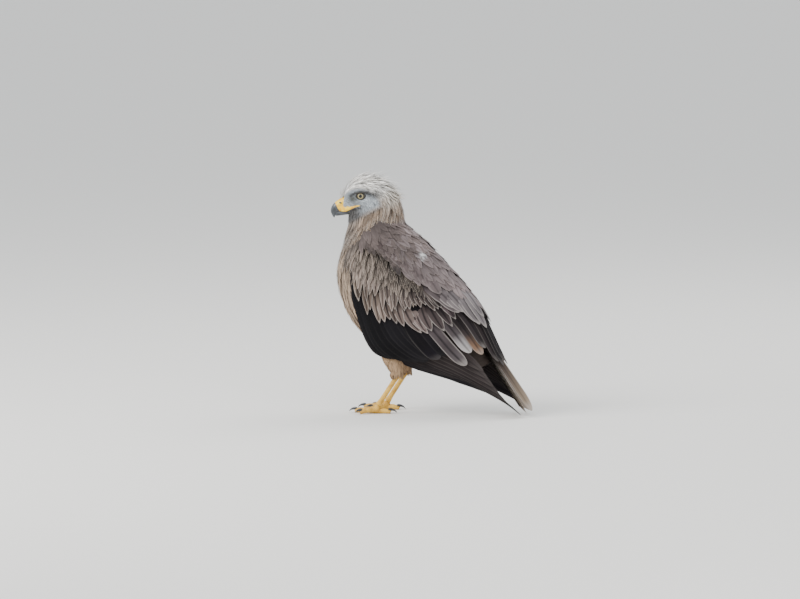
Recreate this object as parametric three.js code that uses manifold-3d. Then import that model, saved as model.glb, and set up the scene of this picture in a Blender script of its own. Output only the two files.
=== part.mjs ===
// A black kite standing on level ground, life size, as a still museum model.
// Millimetres. The bird faces -Y, its left side is +X and Z is up. Angles are in degrees.
import * as THREE from "three";
import { mergeVertices } from "three/addons/utils/BufferGeometryUtils.js";
import Module from "manifold-3d";

const wasm = await Module();
wasm.setup();

// Driving dimensions
const jointGap = 0.3; // clearance between neighbouring pieces
const sink = 0.35; // how much a neighbour is swollen before it is cut away
const trunkTilt = 54; // slope of the trunk and folded wings below the horizontal
const headTurn = 12; // how far the head looks to its left
const headAxis = -44; // where the upright line is that it turns about
const neckTurnLength = 44;
const vaneThick = 0.6;
const bodyRings = 28;
const bodySides = 20;
const eye = { x: 19.2, y: -62.5, z: 359, radius: 9.2 };
const legSpread = 28; // half the distance between the feet
const tail = { root: [86, 202], tip: [216, 4], pairs: 6, width: 31, fork: 15, arch: 8 };
const palette = {
  brown: 0x5b4b42,
  paleBrown: 0x8a776a,
  dark: 0x25201f,
  grey: 0x9a9690,
  yellow: 0xd9a63a,
  horn: 0x2b2d30,
  iris: 0xcfc39a,
};

// Body sections from rump to face: front point, back point (each y, z) and half width
const bodyRows = [
  [92, 167, 114, 181, 17],
  [66, 120, 108, 197, 31],
  [34, 98, 97, 213, 42],
  [-8, 99, 78, 234, 46],
  [-48, 117, 54, 254, 47],
  [-82, 150, 34, 272, 47],
  [-101, 190, 18, 290, 46.5],
  [-107, 226, 10, 305, 45],
  [-103, 252, 7, 318, 43],
  [-96, 276, 5, 330, 38.5],
  [-90, 298, 2, 342, 35.5],
  [-87, 316, -3, 356, 33],
  [-87, 326, -12, 370, 31],
  [-88.5, 328.5, -28, 383, 30],
  [-91, 329.5, -50, 392, 27.5],
  [-93.5, 330, -70, 390, 23.5],
  [-95.5, 331, -86, 379.5, 18],
  [-97, 333, -96, 363, 12],
];
const rumpEnd = [109, 168];
const faceEnd = [-99.5, 347];
const neckRow = 8; // the neck starts at this row
const headRow = 11.5; // and the head here

// Outer surface of a folded wing: distance down the trunk, its middle, its half depth and half width
const wingRows = [
  [-275, 128, 50, 50],
  [-250, 122, 65, 59],
  [-200, 112, 89, 63],
  [-110, 105, 108, 64],
  [-50, 123, 90, 60],
  [20, 149, 52, 53],
  [75, 166, 27, 49],
  [126, 177, 17, 46],
];

// Where the wing's surface bends along its length; it is straight between these.
const wingCreases = [-275, -250, -225, -200, -160, -120, -75, -30, 20, 70, 126];

// Small maths
const rad = Math.PI / 180;
const mix = (a, b, t) => a + (b - a) * t;
const clamp = (v, lo, hi) => Math.min(hi, Math.max(lo, v));
const V = (x, y, z) => new THREE.Vector3(x, y, z);

function smooth(lo, hi, v) {
  const t = clamp((v - lo) / (hi - lo), 0, 1);
  return t * t * (3 - 2 * t);
}

function spline(a, b, c, d, t) {
  return 0.5 * (2 * b + (c - a) * t + (2 * a - 5 * b + 4 * c - d) * t * t + (3 * b - a - 3 * c + d) * t ** 3);
}

// A smooth curve through rows of numbers, read at a row number that may lie between two rows.
function atRow(rows, row) {
  const x = clamp(row, 0, rows.length - 1);
  const i = Math.min(Math.floor(x), rows.length - 2);
  const near = [i - 1, i, i + 1, i + 2].map((j) => rows[clamp(j, 0, rows.length - 1)]);
  return rows[i].map((_, k) => spline(...near.map((r) => r[k]), x - i));
}

const along = (rows, share) => atRow(rows, share * (rows.length - 1));

// The same, read by the value in the first column.
function atKey(rows, key) {
  const k = clamp(key, rows[0][0], rows.at(-1)[0]);
  const i = Math.min(rows.findLastIndex((r) => r[0] <= k), rows.length - 2);
  return atRow(rows, i + (k - rows[i][0]) / (rows[i + 1][0] - rows[i][0]));
}

const wingStrip = wingCreases.map((down) => atKey(wingRows, down));

function wingAt(down) {
  const i = clamp(wingCreases.findLastIndex((k) => k <= down), 0, wingCreases.length - 2);
  const t = (down - wingCreases[i]) / (wingCreases[i + 1] - wingCreases[i]);
  return wingStrip[i].map((value, k) => mix(value, wingStrip[i + 1][k], t));
}

function seeded(seed) {
  let state = seed;
  return () => {
    state = (state * 1664525 + 1013904223) % 4294967296;
    return state / 4294967296;
  };
}

// Closed solids
function solid(points, faces) {
  const volume = faces.reduce((sum, [a, b, c]) => sum + points[a].dot(points[b].clone().cross(points[c])), 0);
  const turned = volume < 0 ? faces.map(([a, b, c]) => [a, c, b]) : faces;
  const geometry = new THREE.BufferGeometry().setFromPoints(points);
  geometry.setIndex(turned.flat());
  return solidOf(geometry);
}

function solidOf(geometry) {
  const bare = geometry.clone();
  bare.deleteAttribute("normal");
  bare.deleteAttribute("uv");
  const merged = mergeVertices(bare, 1e-3);
  return new wasm.Manifold(
    new wasm.Mesh({
      numProp: 3,
      vertProperties: merged.attributes.position.array,
      triVerts: new Uint32Array(merged.index.array),
    }),
  );
}

// A surface through closed rings of points, closed by a fan at each end.
function loft(rings, firstPole, lastPole) {
  const n = rings[0].length;
  const points = [...rings.flat(), firstPole, lastPole];
  const [first, last] = [points.length - 2, points.length - 1];
  const faces = [];
  for (let k = 0; k < n; k++) {
    const next = (k + 1) % n;
    faces.push([first, next, k], [last, (rings.length - 1) * n + k, (rings.length - 1) * n + next]);
    for (let j = 0; j < rings.length - 1; j++) {
      const [a, b, c, d] = [j * n + k, j * n + next, (j + 1) * n + next, (j + 1) * n + k];
      faces.push([a, b, c], [a, c, d]);
    }
  }
  return solid(points, faces);
}

const middle = (ring) => ring.reduce((sum, p) => sum.add(p), V(0, 0, 0)).divideScalar(ring.length);

// A round or oval limb through stops { at, radius, flat }: radius across, flat along the second axis.
function limb(stops, sides = 10, swell = 0, upHint = V(0, 0, 1)) {
  const rings = stops.map((stop, j) => {
    const before = stops[Math.max(j - 1, 0)].at;
    const after = stops[Math.min(j + 1, stops.length - 1)].at;
    const run = after.clone().sub(before).normalize();
    const side = upHint.clone().cross(run).normalize();
    const up = run.clone().cross(side);
    return Array.from({ length: sides }, (_, k) => {
      const a = ((k + 0.5) / sides) * 2 * Math.PI;
      return stop.at
        .clone()
        .addScaledVector(side, Math.cos(a) * (stop.radius + swell))
        .addScaledVector(up, Math.sin(a) * ((stop.flat ?? stop.radius) + swell));
    });
  });
  return loft(rings, middle(rings[0]), middle(rings.at(-1)));
}

// A feather's vane as a thin closed plate. place(share, side, height) gives its points.
function plate(place, shares, halfWidth, height, thick = vaneThick) {
  const columns = 3;
  const points = [];
  for (const share of shares)
    for (const lift of [0, thick])
      for (const s of [-1, 0, 1]) points.push(place(share, s * halfWidth(share, s), height(share, s) + lift));
  const faces = [];
  const quad = (a, b, c, d) => faces.push([a, b, c], [a, c, d]);
  const row = 2 * columns;
  for (let j = 0; j < shares.length - 1; j++) {
    const [here, there] = [j * row, (j + 1) * row];
    for (let k = 0; k < columns - 1; k++) {
      quad(here + k + 1, here + k, there + k, there + k + 1);
      const [a, b] = [here + columns + k, there + columns + k];
      faces.push([a, a + 1, b], [a + 1, b + 1, b]);
    }
    quad(here, here + columns, there + columns, there);
    const edge = columns - 1;
    quad(here + row - 1, here + edge, there + edge, there + row - 1);
  }
  const last = (shares.length - 1) * row;
  for (let k = 0; k < columns - 1; k++) {
    quad(k, k + 1, k + 1 + columns, k + columns);
    quad(last + k + 1, last + k, last + k + columns, last + k + 1 + columns);
  }
  return solid(points, faces);
}

// A tapered lock or hackle with a four-sided section that ends in a point.
function lock(place, shares, halfWidth, height, thick) {
  const rings = shares.slice(0, -1).map((share) => [
    place(share, -halfWidth(share), height(share)),
    place(share, 0, height(share) + thick / 2),
    place(share, halfWidth(share), height(share)),
    place(share, 0, height(share) - thick / 2),
  ]);
  const tip = place(shares.at(-1), 0, height(shares.at(-1)));
  return loft(rings, middle(rings[0]), tip);
}

const join = (pieces) => wasm.Manifold.union(pieces);
const largest = (shape) => shape.decompose().reduce((a, b) => (a.volume() > b.volume() ? a : b));
const mirrored = (shape) => shape.mirror([1, 0, 0]);

// The body's own surface
// row runs from rump to face, around is 0 at the back, 90 at the left side and 180 at the front.
function bodyPoint(row, around, height = 0) {
  const [fy, fz, by, bz, width] = atRow(bodyRows, row);
  const half = V(0, (by - fy) / 2, (bz - fz) / 2);
  const depth = half.length();
  const out = half.clone().normalize();
  const [c, s] = [Math.cos(around * rad), Math.sin(around * rad)];
  const lean = Math.hypot(c / depth, s / width);
  return V(0, (fy + by) / 2, (fz + bz) / 2)
    .addScaledVector(out, c * depth + (height * c) / depth / lean)
    .add(V(s * width + (height * s) / width / lean, 0, 0));
}

function bodySolid(swell = 0) {
  const last = bodyRows.length - 1;
  const rings = Array.from({ length: bodyRings }, (_, j) =>
    Array.from({ length: bodySides }, (_, k) =>
      bodyPoint((j / (bodyRings - 1)) * last, (k / bodySides) * 360, swell),
    ),
  );
  return loft(rings, V(0, rumpEnd[0] + swell, rumpEnd[1] - swell), V(0, faceEnd[0] - swell, faceEnd[1]));
}

// The plane of a body row: its normal, towards the head, and its distance from the middle of the ground.
function planeAtRow(row) {
  const [fy, fz, by, bz] = atRow(bodyRows, row);
  const normal = V(0, -(bz - fz), by - fy).normalize();
  return { normal, offset: normal.dot(V(0, fy, fz)) };
}

// The part of a shape before or after the plane of a body row, half a gap off it.
function cutAtRow(shape, row, keepAfter) {
  const { normal, offset } = planeAtRow(row);
  const sign = keepAfter ? 1 : -1;
  return shape.trimByPlane(normal.clone().multiplyScalar(sign).toArray(), sign * offset + jointGap / 2);
}

// A line of feather on the body between two [row, around] points, with its side in millimetres.
function onBody(from, to) {
  return (share, side, height) => {
    const at = (t) => [mix(from[0], to[0], t), mix(from[1], to[1], t)];
    const here = bodyPoint(...at(share), height);
    const ahead = bodyPoint(...at(share + 0.05), height);
    const [row, around] = at(share);
    const spread = bodyPoint(row, around + 1, height).distanceTo(bodyPoint(row, around - 1, height)) / 2;
    const run = ahead.sub(here).normalize();
    const up = bodyPoint(row, around, height + 1).sub(here).normalize();
    const across = run.cross(up);
    const turn = bodyPoint(row, around + side / spread, height);
    return turn.lerp(here.clone().addScaledVector(across, side * Math.sign(across.x || 1)), 0.0);
  };
}

// The folded wing's own surface
// down is the distance along the trunk's slope, around is 0 at the back and 90 at the side.
function wingPoint(down, around, height = 0) {
  const [, centre, depth, width] = wingAt(down);
  const [c, s] = [Math.cos(around * rad), Math.sin(around * rad)];
  const lean = Math.hypot(c / depth, s / width);
  const back = centre + c * depth + (height * c) / depth / lean;
  const side = s * width + (height * s) / width / lean;
  const [ct, st] = [Math.cos(trunkTilt * rad), Math.sin(trunkTilt * rad)];
  return V(side, down * ct + back * st, -down * st + back * ct);
}

// A feather's line on the wing between two [down, around] points. A positive side is the front edge.
function onWing(from, to) {
  const at = (t) => [mix(from[0], to[0], t), mix(from[1], to[1], t)];
  return (share, side, height) => {
    const [down, around] = at(share);
    const [, , depth, width] = wingAt(down);
    const degree = Math.hypot(width * Math.cos(around * rad), depth * Math.sin(around * rad)) * rad;
    const [next, nextAround] = at(share + 0.02);
    const run = [next - down, (nextAround - around) * degree];
    const length = Math.hypot(...run);
    return wingPoint(down - (run[1] / length) * side, around + ((run[0] / length) * side) / degree, height);
  };
}

// Half width of a vane along its length: narrow root, full middle, rounded or pointed tip.
function vaneShape(width, tip = 0.25, root = 0.35, full = 0.3, round = 0.72) {
  return (share) =>
    width * mix(root, 1, smooth(0, full, share)) * mix(1, tip, smooth(round, 1.02, share) ** 1.5);
}


// A vane's stations: its own, and one wherever the wing's surface bends under it.
function withCreases(shares, from, to) {
  const bends = wingCreases.map((down) => (down - from) / (to - from)).filter((t) => t > 0.05 && t < 0.97);
  const own = shares.filter((t) => bends.every((bend) => Math.abs(bend - t) > 0.09) || t === 0 || t === 1);
  return [...own, ...bends].sort((a, b) => a - b);
}

// One row of feathers, front to back, between lines of roots and tips on the wing.
function tier(spec) {
  const { count, roots, tips, width, lift, slope, climb = 0, shares = [0, 0.85, 1] } = spec;
  const random = seeded(spec.seed);
  return Array.from({ length: count }, (_, i) => {
    const share = i / (count - 1);
    const root = along(roots, share);
    const tip = along(tips, share);
    tip[0] += (random() - 0.5) * (spec.ragged ?? 0);
    const widest = mix(...(Array.isArray(width) ? width : [width, width]), share);
    const half = vaneShape(widest, 0.3, 0.35, 0.3, 0.7);
    const rise = (t, s) => climb * (i - count / 2) + mix(...lift, smooth(0, 0.6, t)) + slope * s * half(t);
    return plate(onWing(root, tip), withCreases(shares, root[0], tip[0]), half, rise);
  });
}

// Arm and hand of the folded wing: the pad that every wing feather grows from.
function wingCore() {
  const [top, bottom] = [-256, -146];
  const [rear, front] = [5.5, 136];
  const [rows, columns] = [6, 6];
  const outer = [];
  const inner = [];
  for (let j = 0; j < rows; j++)
    for (let k = 0; k < columns; k++) {
      const [u, v] = [j / (rows - 1), k / (columns - 1)];
      const edge = Math.min(1, 3.2 * Math.min(u, 1 - u, v, 1 - v) + 0.12);
      const around = mix(rear, front, v) + (u < 0.3 ? (0.3 - u) * 14 * (0.5 - v) : 0);
      const down = mix(top, bottom, u) + 8 * Math.sin(Math.PI * v) * (u > 0.5 ? 1 : -1);
      outer.push(wingPoint(down, around, -3 - 3.5 * (1 - edge)));
      inner.push(wingPoint(down, around, -21 + 10 * (1 - edge)));
    }
  const faces = [];
  const at = (j, k) => j * columns + k;
  const size = rows * columns;
  for (let j = 0; j < rows - 1; j++)
    for (let k = 0; k < columns - 1; k++) {
      const [a, b, c, d] = [at(j, k), at(j, k + 1), at(j + 1, k + 1), at(j + 1, k)];
      faces.push([a, b, c], [a, c, d], [size + c, size + b, size + a], [size + d, size + c, size + a]);
    }
  const rim = [
    ...Array.from({ length: columns - 1 }, (_, k) => at(0, k)),
    ...Array.from({ length: rows - 1 }, (_, j) => at(j, columns - 1)),
    ...Array.from({ length: columns - 1 }, (_, k) => at(rows - 1, columns - 1 - k)),
    ...Array.from({ length: rows - 1 }, (_, j) => at(rows - 1 - j, 0)),
  ];
  rim.forEach((a, i) => {
    const b = rim[(i + 1) % rim.length];
    faces.push([b, a, size + a], [b, size + a, size + b]);
  });
  return solid([...outer, ...inner], faces);
}

// How far down the trunk each primary reaches, from the outermost inwards
const primaryReach = [62, 112, 122, 114, 100, 80, 58, 34];

function primaries() {
  const roots = [[-176, 121], [-204, 120], [-238, 116]];
  return primaryReach.map((reach, i) => {
    const share = i / (primaryReach.length - 1);
    const half = vaneShape(mix(11.5, 13.5, share), 0.16, 0.45, 0.3, 0.5);
    const root = along(roots, share);
    const tip = [reach, mix(121, 76, smooth(0, 0.95, share))];
    const shares = withCreases([0, 0.9, 1], root[0], tip[0]);
    const level = (t) => mix(-11 + 0.6 * i, -16 + 1.2 * i, smooth(0, 0.35, t)) + 4 * smooth(0.65, 1, t);
    return plate(onWing(root, tip), shares, half, level);
  });
}

const wingTiers = [
  {
    name: "secondaries",
    count: 6,
    roots: [[-232, 118], [-195, 90], [-160, 64]],
    tips: [[-84, 124], [-52, 114], [-36, 101], [-34, 92], [-26, 84]],
    width: 15,
    lift: [-7, -4.9],
    slope: 0.1,
    climb: 0.12,
    shares: [0, 0.88, 1],
  },
  {
    name: "tertials",
    count: 4,
    roots: [[-178, 62], [-176, 46], [-174, 32], [-172, 18]],
    tips: [[6, 80], [4, 57], [26, 34], [36, 16]],
    width: [16, 13],
    lift: [-9, -2.6],
    slope: 0.08,
    shares: [0, 0.88, 1],
  },
  {
    name: "greater coverts",
    count: 9,
    roots: [[-240, 122], [-200, 100], [-166, 72], [-152, 46]],
    tips: [[-198, 126], [-156, 115], [-116, 96], [-78, 84], [-66, 66], [-74, 44]],
    width: 11,
    lift: [-7.5, -1],
    slope: 0.08,
    climb: 0.1,
    ragged: 6,
  },
  {
    name: "median coverts",
    count: 7,
    roots: [[-248, 118], [-222, 93], [-190, 68]],
    tips: [[-220, 125], [-186, 112], [-152, 94], [-122, 78], [-112, 60]],
    width: 11,
    lift: [-7.5, 1],
    slope: 0.08,
    climb: 0.1,
    ragged: 6,
  },
  {
    name: "scapulars",
    count: 6,
    roots: [[-224, 64], [-216, 40], [-206, 12]],
    tips: [[-150, 64], [-104, 54], [-76, 42], [-60, 27], [-54, 13.5]],
    width: 12,
    lift: [-7.5, 1.6],
    slope: 0.09,
    ragged: 8,
  },
];

function wing(side, torsoSwollen) {
  const seedStep = side > 0 ? 0 : 31;
  const tiers = wingTiers.flatMap((spec, i) => tier({ ...spec, seed: 11 + i + seedStep }));
  const whole = join([wingCore(), ...primaries(), ...tiers]);
  const bare = whole.subtract(thighShaft(sink));
  return largest((side > 0 ? bare : mirrored(bare)).subtract(torsoSwollen));
}

// Tail
const tailRun = V(0, tail.tip[0] - tail.root[0], tail.tip[1] - tail.root[1]);
const tailLength = tailRun.length();
tailRun.normalize();
const tailUp = V(1, 0, 0).cross(tailRun).multiplyScalar(-1);

function tailPoint(reach, x, height) {
  const drop = tail.arch * (x / tail.width) ** 2;
  return V(x, tail.root[0], tail.root[1])
    .addScaledVector(tailRun, reach)
    .addScaledVector(tailUp, height - drop);
}

function tailFeather(index, side) {
  const spread = (t) => side * mix(1.4 + index * 1.2, 3.6 + index * 2.9, t);
  const length = tailLength + (index * tail.fork) / (tail.pairs - 1) - tail.fork;
  const start = 46;
  const shape = vaneShape(12.5, 0.3, 0.5, 0.35, 0.78);
  const level = index ? 2.6 - index * 0.95 : side > 0 ? 3.55 : 2.6;
  const innerEdge = (t) => (index ? Math.abs(spread(t)) - 0.3 : 12.5);
  const half = (t, s) => (s * side < 0 ? Math.min(shape(t), innerEdge(t)) : shape(t));
  const place = (t, s, height) => tailPoint(mix(start, length, t), spread(t) + s, height);
  return plate(place, [0, 0.5, 0.9, 1], half, () => level);
}

function tailCovert(x, reach, level) {
  const shape = vaneShape(12, 0.3, 0.5, 0.4, 0.6);
  const place = (t, s, height) => tailPoint(mix(42, reach, t), x * mix(0.55, 1, t) + s, height);
  return plate(place, [0, 0.5, 0.85, 1], shape, () => level);
}

function tailSolid(torsoSwollen) {
  const rings = [[30, 15, 11], [44, 15.5, 10], [58, 14, 7.5], [74, 11, 3.5]].map(([reach, half, thick]) =>
    Array.from({ length: 8 }, (_, k) => {
      const a = (k / 8) * 2 * Math.PI;
      return tailPoint(reach, Math.cos(a) * half, Math.sin(a) * thick - 0.5);
    }),
  );
  const core = loft(rings, middle(rings[0]), middle(rings.at(-1)));
  const feathers = [];
  for (let i = 0; i < tail.pairs; i++) feathers.push(tailFeather(i, 1), tailFeather(i, -1));
  const upper = [-7, 7].map((x, i) => tailCovert(x, 108 + 8 * i, 4.9 + 1.1 * i));
  const under = [-7, 7].map((x, i) => tailCovert(x, 122 - 8 * i, -4.4 - 1.1 * i));
  return largest(join([core, ...feathers, ...upper, ...under]).subtract(torsoSwollen));
}

// Legs
const heel = V(legSpread, 3, 60);
const ankle = V(legSpread + 1, -29, 14);
const tarsusRadius = 4.4;

function thighShaft(swell = 0) {
  const stops = [
    { at: V(20, -14, 128), radius: 24, flat: 12.5 },
    { at: V(23, -9, 110), radius: 23, flat: 13 },
    { at: V(26, -4, 92), radius: 20, flat: 13.5 },
    { at: V(27.5, 0, 76), radius: 14, flat: 11 },
    { at: V(28, 3, 66), radius: 9, flat: 8 },
  ];
  return limb(stops, 12, swell, V(1, 0, 0));
}

function thigh(side, torsoSwollen) {
  const random = seeded(5);
  const locks = Array.from({ length: 10 }, (_, i) => {
    const a = ((i + 0.5) / 10) * 2 * Math.PI;
    const drop = 20 + 8 * random();
    const top = 84 + 10 * (i % 2);
    const place = (t, s, height) => {
      const z = top - drop * t * (i % 2 ? 1.15 : 1);
      const girth = mix(13.5, 9, smooth(88, 60, z)) - 1.5 + height;
      const turn = a + s / 14;
      return V(27.5 + Math.sin(turn) * girth * 0.85, mix(-4, 3, smooth(92, 62, z)) - Math.cos(turn) * girth, z);
    };
    return lock(place, [0, 0.35, 0.75, 1], (t) => 5.6 * (1 - 0.6 * t), (t) => mix(-1, 2.2, t), 2.2);
  });
  const whole = join([thighShaft(), ...locks]).subtract(tarsus(sink));
  const cut = largest(whole.subtract(side > 0 ? torsoSwollen : mirrored(torsoSwollen)));
  return side > 0 ? cut : mirrored(cut);
}

function tarsus(swell = 0) {
  const rings = 9;
  const top = heel.clone().add(V(0, 2, 6));
  const stops = Array.from({ length: rings }, (_, j) => {
    const share = j / (rings - 1);
    const knob = 1.4 * (1 - smooth(0, 0.2, share)) + 1.2 * smooth(0.82, 1, share);
    const scute = j % 2 ? 0.35 : 0;
    return { at: top.clone().lerp(ankle, share), radius: tarsusRadius - 0.6 + knob + scute };
  });
  return limb(stops, 8, swell, V(1, 0, 0));
}

// Toes: heading, length, thickness and claw size
const toes = [
  { name: "middle", heading: 2, length: 40, radius: 4.4, claw: 15 },
  { name: "inner", heading: 34, length: 29, radius: 4.5, claw: 16 },
  { name: "outer", heading: -34, length: 32, radius: 4.1, claw: 13 },
  { name: "hind", heading: 176, length: 20, radius: 4.3, claw: 16 },
];

function toeStart(toe) {
  return V(ankle.x, ankle.y, toe.radius + 1.4);
}

function toeDirection(toe) {
  return V(-Math.sin(toe.heading * rad), -Math.cos(toe.heading * rad), 0);
}

function toeSolid(toe, swell = 0) {
  const bones = toe.name === "hind" ? 1 : 3;
  const stations = 2 * bones + 1;
  const stops = Array.from({ length: stations }, (_, j) => {
    const share = j / (stations - 1);
    const pad = j % 2 ? 0.5 : -0.25;
    const radius = toe.radius * mix(1.02, 0.76, share) + pad;
    const arch = 2.2 * Math.sin(Math.PI * share) * (toe.name === "hind" ? 0.3 : 1);
    const at = toeStart(toe).addScaledVector(toeDirection(toe), toe.length * share);
    at.z = radius - 0.8 + arch;
    return { at, radius, flat: radius };
  });
  return limb(stops, 6, swell);
}

function footSolid() {
  const base = limb(
    [
      { at: ankle.clone().add(V(0, -1, -1)), radius: 5.4 },
      { at: ankle.clone().add(V(0, -2, -7)), radius: 6.6 },
      { at: ankle.clone().add(V(0, -2, -12.4)), radius: 5.6 },
    ],
    10,
    0,
    V(1, 0, 0),
  );
  const whole = join([base, ...toes.map((toe) => toeSolid(toe))]).subtract(tarsus(sink));
  return largest(whole.trimByPlane([0, 0, 1], 0));
}

function clawSolid(toe) {
  const run = toeDirection(toe);
  const rings = 4;
  const start = toeStart(toe).addScaledVector(run, toe.length - 2.5);
  const bend = 78 * rad;
  const radius = toe.claw / bend;
  const stops = Array.from({ length: rings }, (_, j) => {
    const share = (j / rings) ** 0.9;
    const a = -20 * rad + bend * share;
    const at = start.clone().addScaledVector(run, radius * (Math.sin(a) - Math.sin(-20 * rad)));
    at.z = 6.2 + radius * (Math.cos(a) - Math.cos(-20 * rad));
    return { at, radius: mix(2.5, 0.7, share), flat: mix(2.9, 0.8, share) };
  });
  const tipAngle = -20 * rad + bend;
  const tip = start.clone().addScaledVector(run, radius * (Math.sin(tipAngle) - Math.sin(-20 * rad)));
  tip.z = Math.max(0.5, 6.2 + radius * (Math.cos(tipAngle) - Math.cos(-20 * rad)));
  stops.push({ at: tip, radius: 0.3 });
  return largest(limb(stops, 6).subtract(toeSolid(toe, sink)).trimByPlane([0, 0, 1], 0.3));
}

// Head
// A bill-like form through rows of top and bottom points (each y, z) and half width.
// boxy says which half of the section is squarer: -1 the lower, 1 the upper, 0 neither.
function billForm(rows, boxy = 0, swell = 0, sides = 10) {
  const rings = rows.map(([ty, tz, by, bz, width]) => {
    const half = V(0, (ty - by) / 2, (tz - bz) / 2);
    const depth = half.length();
    return Array.from({ length: sides }, (_, k) => {
      const a = ((k + 0.5) / sides) * 2 * Math.PI;
      const [c, w] = [Math.cos(a), Math.sin(a)];
      const square = c * boxy > 0 ? 0.5 : 1;
      return V(0, (ty + by) / 2, (tz + bz) / 2)
        .addScaledVector(half, (Math.sign(c) * Math.abs(c) ** square * (depth + swell)) / depth)
        .add(V(Math.sign(w) * Math.abs(w) ** square * (width + swell), 0, 0));
    });
  });
  return loft(rings, middle(rings[0]), middle(rings.at(-1)));
}

const upperBill = (swell = 0) => billForm(upperBillRows, -1, swell);
const lowerBill = (swell = 0) => billForm(lowerBillRows, 1, swell);

const cereRows = [
  [-94, 357, -86, 334, 12],
  [-100.5, 352.6, -93.5, 332.8, 9.6],
  [-105, 349.4, -97.6, 331.8, 8.2],
  [-108.6, 346.4, -100.2, 331.4, 7.3],
];
const upperBillRows = [
  [-108.9, 346, -100.6, 331.3, 7],
  [-112.8, 342, -103.6, 330.5, 6.4],
  [-115.4, 336.6, -106.2, 328.9, 5.2],
  [-115.7, 331, -107.8, 327, 3.9],
  [-113.8, 325.6, -108.6, 324.2, 2.3],
  [-110.9, 321.2, -109.5, 321.4, 0.5],
];
const lowerBillRows = [
  [-86, 334, -86, 326.4, 9],
  [-94, 333.5, -94, 325.8, 6.8],
  [-100, 332.2, -99.6, 325.4, 5.2],
  [-105.2, 330, -104.4, 326.6, 3.4],
];

// Half width of the face at a point seen from the side.
function faceWidth(y, z) {
  let best = [Infinity, 0];
  for (let row = headRow; row < bodyRows.length - 1; row += 0.05) {
    const [fy, fz, by, bz, width] = atRow(bodyRows, row);
    const share = ((y - fy) * (by - fy) + (z - fz) * (bz - fz)) / ((by - fy) ** 2 + (bz - fz) ** 2);
    const off = Math.hypot(y - mix(fy, by, share), z - mix(fz, bz, share));
    const side = width * Math.sqrt(Math.max(0, 1 - (2 * share - 1) ** 2));
    if (off < best[0]) best = [off, side];
  }
  return best[1];
}

// The fleshy corner of the mouth: y, z and half height
const gapeRows = [
  [-96, 337.4, 4.6],
  [-90, 337, 4.4],
  [-82, 338, 3.2],
  [-73, 340.2, 2.1],
  [-63, 342.6, 0.9],
];

function gape(swell) {
  const stops = gapeRows.map(([y, z, high], i) => ({
    at: V(i ? faceWidth(y, z) - 1 : 6.4, y, z),
    radius: 2 - 0.15 * i,
    flat: high,
  }));
  const strip = limb(stops, 6, swell, V(0, 0, 1));
  return join([strip, mirrored(strip)]);
}

function cere(swell = 0) {
  return join([billForm(cereRows, -1, swell), gape(swell)]);
}

function nostrils() {
  const slot = solidOf(new THREE.SphereGeometry(1, 10, 6)).scale([2.2, 2.3, 1.3]);
  const placed = slot.rotate([-24, 0, 0]).translate([8.6, -102, 343.6]);
  return join([placed, mirrored(placed)]);
}

function eyeball(swell = 0) {
  const ball = new THREE.SphereGeometry(eye.radius + swell, 12, 7);
  return solidOf(ball).rotate([0, 90, 0]).translate([eye.x, eye.y, eye.z]);
}

function eyeSurround() {
  const lid = solidOf(new THREE.TorusGeometry(6.9, 1.5, 5, 14)).scale([1, 0.9, 1]);
  const ring = lid.rotate([90, 0, 0]).rotate([0, 0, 90 - 8]).translate([eye.x + 6.4, eye.y - 0.6, eye.z]);
  const brow = limb(
    [
      { at: V(15.5, -85, 361.5), radius: 2, flat: 2 },
      { at: V(21, -77, 366.2), radius: 4, flat: 3.4 },
      { at: V(25.2, -67, 368.4), radius: 4.4, flat: 3.6 },
      { at: V(26.4, -56, 368), radius: 4.2, flat: 3.4 },
      { at: V(25, -45, 365.6), radius: 3, flat: 2.4 },
    ],
    6,
  );
  return { ring, brow };
}

function hackles(rows, lengthRows, reach, seed) {
  const random = seeded(seed);
  return rows.flatMap(([row, count, spread, rise], r) =>
    Array.from({ length: count }, (_, i) => {
      const around = mix(-spread, spread, count > 1 ? i / (count - 1) : 0.5) + (random() - 0.5) * 8;
      const end = row - lengthRows * (0.85 + 0.3 * random());
      const place = onBody([row, around], [end, around * 1.04]);
      const high = rise * (0.8 + 0.4 * random());
      return lock(place, [0, 0.3, 0.7, 1], (t) => reach * (1 - 0.55 * t), (t) => mix(-1.6, high, t), 1.8 - r * 0.1);
    }),
  );
}

function headSolid(whole) {
  const { ring, brow } = eyeSurround();
  const skull = cutAtRow(whole, headRow, true);
  const crown = hackles([[15.4, 3, 34, 4.2], [14.5, 3, 46, 4.6], [13.6, 4, 62, 4]], 1.6, 5, 3);
  const scoop = solidOf(new THREE.SphereGeometry(1, 12, 8)).scale([9, 13.5, 7.6]).translate([33, -68, 358.6]);
  const shaped = skull.subtract(join([scoop, mirrored(scoop)]));
  const furnished = join([shaped, ring, mirrored(ring), brow, mirrored(brow), ...crown]);
  const sockets = join([eyeball(sink), mirrored(eyeball(sink))]);
  const bills = join([cere(sink), lowerBill(sink)]);
  return largest(furnished.subtract(sockets).subtract(bills));
}

function neckSolid(whole) {
  const part = cutAtRow(cutAtRow(whole, headRow, false), neckRow, true);
  const nape = hackles([[11.0, 4, 50, 3.4], [10.2, 4, 64, 3.2]], 1.2, 6, 9);
  return largest(cutAtRow(cutAtRow(join([part, ...nape]), headRow, false), neckRow, true));
}

// The head looks a little to the left: a turn about an upright line that grows along the neck.
function turned(shape) {
  const { normal, offset } = planeAtRow(neckRow);
  return shape.warp((p) => {
    const a = headTurn * rad * smooth(0, neckTurnLength, normal.y * p[1] + normal.z * p[2] - offset);
    const [x, y] = [p[0], p[1] - headAxis];
    p[0] = x * Math.cos(a) - y * Math.sin(a);
    p[1] = x * Math.sin(a) + y * Math.cos(a) + headAxis;
  });
}

// Scene graph
const bird = new THREE.Group();
const built = new Map();

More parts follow.
